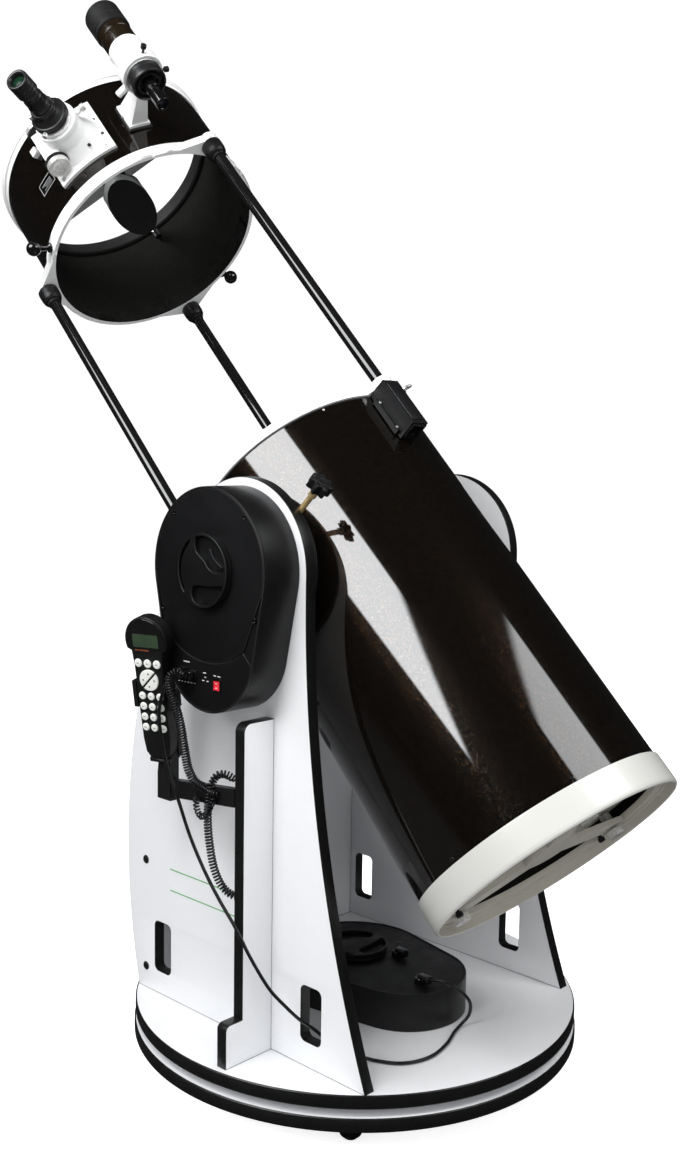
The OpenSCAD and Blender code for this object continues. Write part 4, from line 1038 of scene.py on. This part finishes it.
lathe("tension_screw", [(0, 0), (3.2, 0), (3.2, 9), (6.0, 10), (6.2, 16), (5.0, 17.5),
                        (0, 17.5)],
      FOCUSER @ move(0, 32, 226) @ turn(-90, "X"), "aluminium", "cage", "aluminium",
      rounding=0.5, segs=32)

# drawtube, adapter and its screws
DRAW_CHROME = ("chrome", "drawtube", "chrome")
ADAPTER = [
    (16, 246.1), (27.6, 246.1), (28.2, 246.8), (28.2, 248.2), (29.4, 248.7), (29.4, 250),
    (28.4, 250.5), (28.4, 252), (29.4, 252.5), (29.4, 256.2), (27.5, 257.2), (26, 257.5),
    (20.5, 263), (19.6, 264), (19.6, 268.5), (18.9, 269), (18.9, 270.4), (19.6, 271),
    (19.6, 275), (18.6, 276), (16, 276)]
lathe("drawtube", [(25.5, 168), (28.4, 168), (28.4, 245.2), (28.0, 246), (25.5, 246),
                   (25.5, 168)],
      FOCUSER, "chrome", "drawtube", "aluminium", rounding=0.5, segs=128,
      replaces="focuser_drawtube")
lathe("two_inch_adapter", ADAPTER, FOCUSER, "black_anod", "drawtube", "black_metal",
      rounding=0.5, segs=128, replaces="eyepiece_adapter")
for i, angle in enumerate((200, 320)):
    lathe("adapter_thumb_%d" % i, [(0, 26), (2.2, 26), (2.2, 30), (4.0, 30.5), (4.1, 36.6),
                                   (3.4, 37.4), (0, 37.4)],
          outward(FOCUSER, 252.5, angle), *DRAW_CHROME, rounding=0.4, segs=28)
lathe("adapter_thumb_small", [(0, 17), (1.7, 17), (1.7, 20), (3.4, 20.5), (3.5, 25),
                              (2.8, 25.8), (0, 25.8)],
      outward(FOCUSER, 270, 265), *DRAW_CHROME, rounding=0.3, segs=24)
plate("adapter_mark", [round_rect(0, y, 4.0, 1.2, 0.4) for y in (0, 2.6)], (19.4, 19.75),
      outward(FOCUSER, 266, 215) @ turn(90, "Z"), "print_white", "drawtube", "black_metal",
      rounding=0.05)

# eyepiece with its ribbed grip
OCULAR = [
    (0, 250), (12, 250), (15.9, 250), (15.9, 276.2), (16.9, 276.4), (16.9, 285.4),
    (15.9, 286.6), (15.3, 287), (15.3, 301), (14.5, 302), (14.5, 309.5), (15.2, 310.6),
    (16.9, 312.4), (16.9, 318), (16.3, 318.6), (16.9, 319.2), (16.9, 325), (16.3, 325.6),
    (16.9, 326.2), (16.9, 339), (16.2, 341.4), (14.6, 342), (12.2, 341.2), (10.6, 338),
    (10.4, 334), (0, 334)]
lathe("ocular", OCULAR, FOCUSER, "black_anod", "eyepiece", "black_metal", rounding=0.4,
      replaces="eyepiece")
lathe("ocular_lens", [(0, 336.8), (3, 336.6), (6.5, 335.9), (9, 334.9), (10.5, 334.0)], FOCUSER,
      "glass_green", "eyepiece", "black_metal", rounding=0.2, segs=64)
ribs = bmesh.new()
for k in range(36):
    rib = block("rib", (14.9, -0.55, 288.5), (15.75, 0.55, 300), FOCUSER @ turn(10 * k, "Z"),
                "rubber", None, None, rounding=0.2)
    ribs.from_mesh(rib.data)
    D.objects.remove(rib)
ribs_mesh = D.meshes.new("ocular_grip_ribs")
ribs.to_mesh(ribs_mesh)
ribs.free()
ribs_mesh.materials.append(MATS["rubber"])
register("ocular_grip_ribs", ribs_mesh, "eyepiece")

# focusing spindle with its two knobs
SPINDLE = FOCUSER @ move(0, -36, 205) @ turn(90, "Y")
FOCUS_ALUMINIUM = ("aluminium", "focus", "aluminium")
FOCUS_STEEL = ("steel", "focus", "aluminium")
FOCUS_RUBBER = ("rubber", "focus", "black_plastic")
TEETH, TOOTH_RADIUS, TOOTH_DEPTH = 60, 19.0, 0.55
toothed = []
for k in range(2 * TEETH):
    radius = TOOTH_RADIUS - (TOOTH_DEPTH if k % 2 else 0)
    angle = math.pi * k / TEETH
    toothed.append((radius * math.cos(angle), radius * math.sin(angle)))
lathe("focus_spindle", [(0, -33), (7, -33), (7, 33), (0, 33)], SPINDLE, *FOCUS_STEEL,
      rounding=0.4, segs=40, replaces="focus_knobs")
plate("focus_grip_ring", [toothed], (31, 36.8), SPINDLE, *FOCUS_RUBBER, rounding=0.7)
lathe("focus_knob_face", [(0, 36.4), (17.2, 36.4), (17.6, 37.2), (17.6, 44.6), (16.6, 45.8),
                          (14.8, 46), (14.4, 45.4), (13.6, 45.4), (13.2, 46), (6.0, 46),
                          (5.4, 45.2), (4.6, 45.2), (4.0, 46), (0, 46)],
      SPINDLE, *FOCUS_ALUMINIUM, rounding=0.3)
for i, (x, y) in enumerate(arc(0, 0, 9.4, 3, 20, 380)):
    lathe("focus_knob_pit_%d" % i, [(0, 46.08), (1.5, 46.1), (2.1, 46.2), (2.3, 45.9)],
          SPINDLE @ move(x, y, 0), *FOCUS_STEEL, rounding=0.1, segs=20)
plate("focus_grip_ring_far", [toothed], (-36.8, -31), SPINDLE, *FOCUS_RUBBER, rounding=0.7)
lathe("focus_knob_far", [(0, -36.4), (17.2, -36.4), (17.6, -37.2), (17.6, -44.6),
                         (16.6, -45.8), (13.4, -46), (6.0, -46), (5.4, -45.2), (0, -45.2)],
      SPINDLE, *FOCUS_ALUMINIUM, rounding=0.3)
# small white block beside the focuser
block("accessory_block", (176, -6, 814), (190, 6, 828), spoke(169.5), *CAGE_WHITE, rounding=1.2)

# ------------------------------------------------------------------ finder
BRACKET_STATION = 746                      # station of the adjusting screws
DEW_CAP = [
    (24.6, 840.6), (27.0, 841.0), (28.0, 842.4), (28.0, 847.6), (27.2, 848.4), (27.2, 849.8),
    (28.0, 850.6), (28.0, 855.2), (27.2, 856.0), (27.2, 857.4), (28.0, 858.4), (28.0, 883.6),
    (27.0, 886), (25.2, 886), (24.8, 884), (24.8, 856)]
FINDER_REAR = [
    (25.4, 737.6), (27.4, 736.4), (27.6, 734), (27.6, 730.6), (26.9, 729.8), (26.9, 728.6),
    (27.6, 727.8), (27.6, 717.2), (26.6, 714.4), (24.4, 713.6), (23.4, 715.4), (22.4, 721),
    (18.6, 722), (18.2, 716.6), (15.4, 716), (14.6, 717.4), (14.2, 723), (9.7, 723.5)]
FINDER_OCULAR = [
    (9.4, 726), (9.4, 709), (10.6, 708), (10.6, 703), (9.4, 702), (9.4, 691), (10.8, 690),
    (11.0, 688), (11.0, 670), (10.2, 668.2), (8.2, 668), (7.4, 669.4), (7.2, 673), (0, 673)]
ADJUSTER = [
    (0, 27.2), (2.0, 27.2), (2.0, 37.4), (2.8, 38.3), (4.0, 38.8), (4.5, 39.8), (4.1, 40.6),
    (4.5, 41.4), (4.1, 42.2), (4.5, 43.0), (4.3, 45.0), (3.2, 45.8), (0, 45.8)]
skin("finder_bracket", "white_gloss", rounding=1.1)
lathe("finder_objective", [(22.5, 728), (26.6, 730), (26.6, 735), (27.0, 738), (27.0, 799.6),
                           (26.2, 801.2), (25, 801.2)],
      FINDER, *CAGE_WHITE, rounding=0.6, segs=128, replaces="finder_tube")
lathe("finder_section", [(24.6, 800.6), (25.6, 801.4), (25.6, 826), (25.0, 826.8),
                         (25.0, 828.4), (25.7, 829.2), (25.7, 841.4), (24.6, 842.4)],
      FINDER, "section_brown", "cage", "black_metal", rounding=0.4, segs=128)
lathe("finder_dew_cap", DEW_CAP, FINDER, "rubber", "cage", "black_plastic", rounding=0.5,
      segs=128)
lathe("finder_objective_lens", [(24.8, 856), (23.6, 856), (23.2, 857), (22.8, 856.6),
                                (17, 858.4), (9, 859.6), (0, 860)],
      FINDER, "glass_dark", "cage", "black_metal", rounding=0.3)
lathe("finder_rear_ring", FINDER_REAR, FINDER, *CAGE_ANOD, rounding=0.5, segs=128)
block("finder_ring_mark", (27.4, -0.8, 717), (27.85, 0.8, 727), FINDER @ turn(168, "Z"),
      "print_white", "cage", "black_metal", rounding=0.15)
lathe("finder_ocular", FINDER_OCULAR, FINDER, "black_gloss", "finder_eyepiece", "black_metal",
      rounding=0.4, segs=80, replaces="finder_eyepiece")
lathe("finder_ocular_lens", [(0, 671.4), (4, 671.9), (7.2, 673)], FINDER, "glass_dark",
      "finder_eyepiece", "black_metal", rounding=0.2, segs=48)
for i, angle in enumerate((5, 97)):
    lathe("finder_adjuster_%d" % (i + 1), ADJUSTER, outward(FINDER, BRACKET_STATION, angle),
          "black_plastic", "cage", "black_metal", rounding=0.3, segs=48,
          replaces=first(i, "finder_screws"))
post = outward(FINDER, BRACKET_STATION, -131)
lathe("finder_spring_post", [(4.2, 31), (5.4, 31.6), (5.6, 33), (5.6, 47.6), (4.8, 49.2),
                             (2.6, 49.6), (0, 49.6)],
      post, *CAGE_WHITE, rounding=0.7, segs=48)
block("finder_post_slot", (-4.4, -1.0, 48.4), (4.4, 1.0, 50.0), post, *CAGE_METAL, rounding=0.3)
block("finder_shoe", (180.8, -19.5, 741), (184.2, 19.5, 799), spoke(118), *CAGE_METAL,
      rounding=0.8)
for i, sign in enumerate((-1, 1)):
    lathe("shoe_screw_%d" % i, [(0, 0), (2.6, 0), (2.6, 2.0), (2.2, 2.6), (0, 2.6)],
          spoke(118) @ move(188.4, sign * 17, 771) @ turn(-90 * sign, "X"), "steel", "cage",
          "black_metal", rounding=0.3, segs=28)


# ------------------------------------------------------------------ data plate
def curved_strip(name, radius, phi_range, station_range, thickness, look):
    """Strip wrapped round the cage."""
    steps = 10
    phi0, phi1 = phi_range
    low, high = station_range
    section = ((0, low), (thickness, low), (thickness, high), (0, high))
    bm = bmesh.new()
    rings = []
    for i in range(steps + 1):
        out = radial(phi0 + (phi1 - phi0) * i / steps)
        rings.append([bm.verts.new(PIVOT + out * ((radius + lift) * MM) + ALONG * (station * MM))
                      for lift, station in section])
    for ring, following in zip(rings, rings[1:]):
        bridge(bm, ring, following)
    bm.faces.new(rings[0])
    bm.faces.new(rings[-1][::-1])
    finish(name, bm, None, look, "cage", "black_metal")


# blank plate with a thin white border and four grey rules
PLATE_PHI, PLATE_STATIONS = (168.5, 179.5), (754, 776)
PLATE_BACK, PRINT = 0.12, 0.1              # thicknesses
BORDER = 0.7
border_phi = math.degrees(BORDER / CAGE_RADIUS)
phi0, phi1 = PLATE_PHI
low, high = PLATE_STATIONS
curved_strip("data_plate_back", CAGE_RADIUS, PLATE_PHI, PLATE_STATIONS, PLATE_BACK,
             "black_gloss")
for suffix, phis, stations in (("l", (phi0, phi0 + border_phi), PLATE_STATIONS),
                               ("r", (phi1 - border_phi, phi1), PLATE_STATIONS),
                               ("b", PLATE_PHI, (low, low + BORDER)),
                               ("t", PLATE_PHI, (high - BORDER, high))):
    curved_strip("data_plate_" + suffix, CAGE_RADIUS + PLATE_BACK, phis, stations, PRINT,
                 "print_white")
# rules as fractions of the plate: start and end round the cage, start and end along it
RULES = ((0.16, 0.84, 0.60, 0.66), (0.16, 0.70, 0.46, 0.50), (0.16, 0.60, 0.34, 0.38),
         (0.16, 0.78, 0.20, 0.24))
for i, rule in enumerate(RULES):
    phis = [phi0 + (phi1 - phi0) * f for f in rule[:2]]
    stations = [low + (high - low) * f for f in rule[2:]]
    curved_strip("data_plate_rule%d" % i, CAGE_RADIUS + PLATE_BACK, phis, stations, PRINT,
                 "print_grey")

# ------------------------------------------------------------------ leads
# guide points (x, y, z)
POWER_LEAD = [
    (-300, 28, 587), (-306, 36, 586), (-309, 52, 578), (-309, 66, 562), (-307, 77, 532),
    (-304, 75.6, 495), (-301, 67, 457), (-299, 47.6, 419), (-297, 26, 375), (-295, -1, 334),
    (-292, -28, 300), (-289, -56, 270), (-284, -80, 235), (-272, -101, 198.5),
    (-256, -115, 174), (-238, -123, 153), (-219, -131, 136), (-200, -138, 116),
    (-178, -142, 99), (-164, -158, 90.8), (-157, -180, 89.9), (-142, -206, 89.9),
    (-120, -221, 89.9), (-90, -226, 89.9), (-52, -218, 89.9), (-20, -205, 89.9),
    (2, -200, 92), (12, -205, 104), (8, -208, 125), (-4, -196, 143), (-14, -178, 151),
    (-20, -160, 149), (-21, -146, 146)]
LEAD_UPPER = [
    (-303, 30, 587), (-309, 37, 592), (-314, 44, 586), (-314, 45, 570), (-309, 41, 548),
    (-304, 37, 522), (-301, 33, 494), (-298, 28, 464), (-292, 22, 447), (-288, 10, 441),
    (-286, -4, 436), (-284, -16, 434)]
LEAD_LOOP = [
    (-285, 26, 428), (-289, 22, 412), (-290, 12, 402), (-290, 2, 406), (-289, -6, 418),
    (-286, -10, 432)]
LEAD_LOWER = [
    (-262, -24, 452), (-268, -12, 458), (-277, -4, 456), (-286, -2, 440), (-288, 0, 415),
    (-287, 1, 390), (-285, -1, 362), (-282, -6, 334), (-276, -14, 312), (-268, -26, 300),
    (-258, -34, 300), (-248, -36, 312), (-242, -36, 340)]
LEAD = ("cable", "rocker", "black_plastic")
wire("power_lead", spline_through(POWER_LEAD, 10), 2.3, *LEAD, sides=12)
for i, (x, y) in enumerate(((-21, -143), (26, -60))):
    lathe("az_plug_%d" % i, [(0, 52.6), (7.6, 52.6), (8, 53.6), (8, 60), (7, 61.6), (0, 62)],
          AZ_DRIVE @ move(x, y, 0), *GLOSS_PLUG, rounding=0.6, segs=40)
    block("az_plug_elbow_%d" % i, (x - 6, y - 18, 55.5), (x + 6, y + 2, 66.5), AZ_DRIVE,
          *GLOSS_PLUG, rounding=2.4)


def coiled_lead(name, guide_points, coil_radius, wire_radius, turns):
    """A coiled lead that follows a guide curve, drawn in to it at both ends."""
    guide = spline_through(guide_points, 12)
    reached = [0.0]
    for start, end in zip(guide, guide[1:]):
        reached.append(reached[-1] + (end - start).length)
    count = int(turns * 14)
    normal = (guide[1] - guide[0]).normalized().orthogonal().normalized()
    path = []
    j = 0
    for i in range(count + 1):
        distance = reached[-1] * i / count
        while j < len(reached) - 2 and reached[j + 1] < distance:
            j += 1
        fraction = (distance - reached[j]) / max(reached[j + 1] - reached[j], 1e-9)
        point = guide[j].lerp(guide[j + 1], min(max(fraction, 0), 1))
        ahead = (guide[j + 1] - guide[j]).normalized()
        normal = (normal - ahead * normal.dot(ahead)).normalized()
        angle = 2 * math.pi * turns * i / count
        radius = coil_radius * MM * min(1.0, i / 10.0, (count - i) / 10.0)
        path.append(point + normal * (radius * math.cos(angle))
                    + ahead.cross(normal) * (radius * math.sin(angle)))
    wire(name, path, wire_radius, *LEAD, sides=7)


coiled_lead("handset_lead_upper", LEAD_UPPER, coil_radius=4.9, wire_radius=1.35, turns=60)
coiled_lead("handset_lead_loop", LEAD_LOOP, coil_radius=3.4, wire_radius=1.2, turns=16)
coiled_lead("handset_lead_lower", LEAD_LOWER, coil_radius=4.4, wire_radius=1.35, turns=62)

# remaining machine parts inside the drives and under the boards: node, look, rounding
for node, look, rounding in (
        ("azimuth_post", "steel", 0.8), ("azimuth_worm_wheel", "bronze", 0),
        ("roller_ring", "nylon", 0.3), ("azimuth_motor", "steel", 0.6),
        ("azimuth_worm", "steel", 0), ("altitude_motor", "steel", 0.6),
        ("altitude_worm", "steel", 0), ("altitude_worm_wheel", "bronze", 0),
        ("altitude_shaft", "steel", 0.6)):
    skin(node, look, rounding=rounding)


# ------------------------------------------------------------------ studio
def grid_object(name, segments, size):
    bm = bmesh.new()
    bmesh.ops.create_grid(bm, x_segments=segments, y_segments=segments, size=size)
    mesh = D.meshes.new(name)
    bm.to_mesh(mesh)
    bm.free()
    ob = D.objects.new(name, mesh)
    COLLECTION.objects.link(ob)
    return ob


def floor():
    """White paper to the camera, grey to diffuse rays and nearly black in reflections."""
    ob = grid_object("studio_floor", segments=40, size=30.0)
    mat = Material("floor_paper")
    rays = mat.node("LightPath").outputs
    paper = mat.ramp(mat.noise(2.0, detail=4), (0.3, 0.90), (0.7, 0.93))
    seen = mat.mix(rays["Is Camera Ray"], (0.42, 0.42, 0.42), paper)
    mat.surface({"Emission Color": (1, 1, 1),
                 "Emission Strength": mat.calc("MULTIPLY", rays["Is Camera Ray"], 0.74),
                 "Base Color": mat.mix(rays["Is Glossy Ray"], seen, (0.03, 0.03, 0.03)),
                 "Roughness": 0.85, "Specular IOR Level": 0.1})
    ob.data.materials.append(MATS["floor_paper"])


def studio_world():
    """Separate backgrounds for camera, diffuse and glossy rays."""
    scene = bpy.context.scene
    scene.world = scene.world or D.worlds.new("studio")
    graph = Graph(scene.world)
    output = graph.node("OutputWorld")
    rays = graph.node("LightPath").outputs

    def background(colour, strength):
        return graph.node("Background", {0: colour, 1: strength}).outputs[0]
    camera_sky = background((1, 1, 1), strength=1.05)
    diffuse_sky = background((0.975, 0.985, 1.0), strength=0.37)
    glossy_sky = background((0.95, 0.97, 1.0), strength=0.012)
    unseen = graph.node("MixShader", {0: rays["Is Glossy Ray"], 1: diffuse_sky, 2: glossy_sky})
    sky = graph.node("MixShader", {0: rays["Is Camera Ray"], 1: unseen.outputs[0],
                                   2: camera_sky})
    graph.feed(output, {0: sky.outputs[0]})


def area(name, direction, distance, size, energy, target=(0, 0, 0.75)):
    """Square light aimed at a target, left out of reflections."""
    light = D.lights.new(name, "AREA")
    light.energy = energy
    light.shape = "SQUARE"
    light.size = size
    ob = D.objects.new(name, light)
    COLLECTION.objects.link(ob)
    outwards = Vector(direction).normalized()
    ob.location = Vector(target) + outwards * distance
    ob.rotation_euler = (-outwards).to_track_quat("-Z", "Y").to_euler()
    ob.visible_glossy = False


def softbox(name, azimuth, elevation, width, height, strength, fade_x, fade_y, skew=0.0):
    """Large soft panel seen only in reflections; azimuth runs from +Y towards +X."""
    turned, raised = rad(azimuth), rad(elevation)
    direction = Vector((math.sin(turned) * math.cos(raised),
                        math.cos(turned) * math.cos(raised), math.sin(raised)))
    centre = Vector((0, 0, 0.75)) + direction * 3.5
    right = Z_AXIS.cross(-direction).normalized()
    place = axes(centre, right, (-direction).cross(right), -direction) @ Matrix(
        ((width / 2, skew, 0, 0), (0, height / 2, 0, 0), (0, 0, 1, 0), (0, 0, 0, 1)))
    ob = grid_object(name, segments=8, size=1.0)
    mesh = ob.data
    mesh.transform(place)
    uv_map = mesh.uv_layers.new(name="panel")
    inverse = place.inverted()
    for loop in mesh.loops:
        flat = inverse @ mesh.vertices[loop.vertex_index].co
        uv_map.data[loop.index].uv = (flat.x, flat.y)
    material = D.materials.new(name)
    graph = Graph(material)
    material.cycles.emission_sampling = "FRONT_BACK"
    output = graph.node("OutputMaterial")
    uv = graph.node("UVMap", uv_map="panel").outputs[0]
    position = graph.node("SeparateXYZ", {0: uv}).outputs

    def fade(coordinate, share):
        return graph.node("MapRange", {
            "From Min": 1.0, "From Max": 1.0 - share, "To Min": 0.0, "To Max": 1.0,
            "Value": graph.calc("ABSOLUTE", coordinate)},
            interpolation_type="SMOOTHSTEP").outputs[0]
    glow = graph.calc("MULTIPLY", fade(position[0], fade_x), fade(position[1], fade_y))
    emission = graph.node("Emission", {"Color": (0.97, 0.985, 1.0),
                                       "Strength": graph.calc("MULTIPLY", glow, strength)})
    graph.feed(output, {0: emission.outputs[0]})
    mesh.materials.append(material)
    ob.visible_camera = False
    ob.visible_diffuse = False
    ob.visible_shadow = False
    ob.visible_transmission = False


def camera():
    data = D.cameras.new("camera")
    ob = D.objects.new("camera", data)
    COLLECTION.objects.link(ob)
    yaw, pitch, roll = rad(-46.58), rad(-6.04), rad(0.87)
    view = Vector((-math.sin(yaw) * math.cos(pitch), math.cos(yaw) * math.cos(pitch),
                   math.sin(pitch)))
    level = view.cross(Z_AXIS).normalized()
    upright = level.cross(view)
    right = math.cos(roll) * level + math.sin(roll) * upright
    up = -math.sin(roll) * level + math.cos(roll) * upright
    ob.matrix_world = axes(Vector((-1.31091, -1.19764, 0.88670)), right, up, -view)
    data.lens = 38.73
    data.sensor_width = 36.0
    data.clip_start = 0.05
    data.clip_end = 60
    bpy.context.scene.camera = ob


floor()
studio_world()
area("key_left", (-0.93, 0.10, 0.52), distance=3.4, size=1.6, energy=48)
area("key_top", (0.25, -0.75, 1.1), distance=3.4, size=1.8, energy=66)
area("cage_fill", (-1.0, -0.75, 0.75), distance=1.7, size=0.7, energy=24,
     target=(-0.10, 0.52, 1.34))
area("cage_left", (-1.0, 0.45, 0.62), distance=1.7, size=0.7, energy=13,
     target=(-0.10, 0.52, 1.36))
area("front_fill", (-0.5, -1.0, 0.35), distance=4.2, size=2.4, energy=42)
softbox("softbox_left", azimuth=-84, elevation=36, width=2.58, height=1.95, strength=9.0,
        fade_x=0.10, fade_y=0.10, skew=-0.18)
softbox("softbox_right", azimuth=163, elevation=40, width=2.3, height=1.75, strength=4.2,
        fade_x=0.12, fade_y=0.14)
camera()
bpy.context.scene.view_settings.view_transform = "Standard"
bpy.context.scene.view_settings.look = "None"
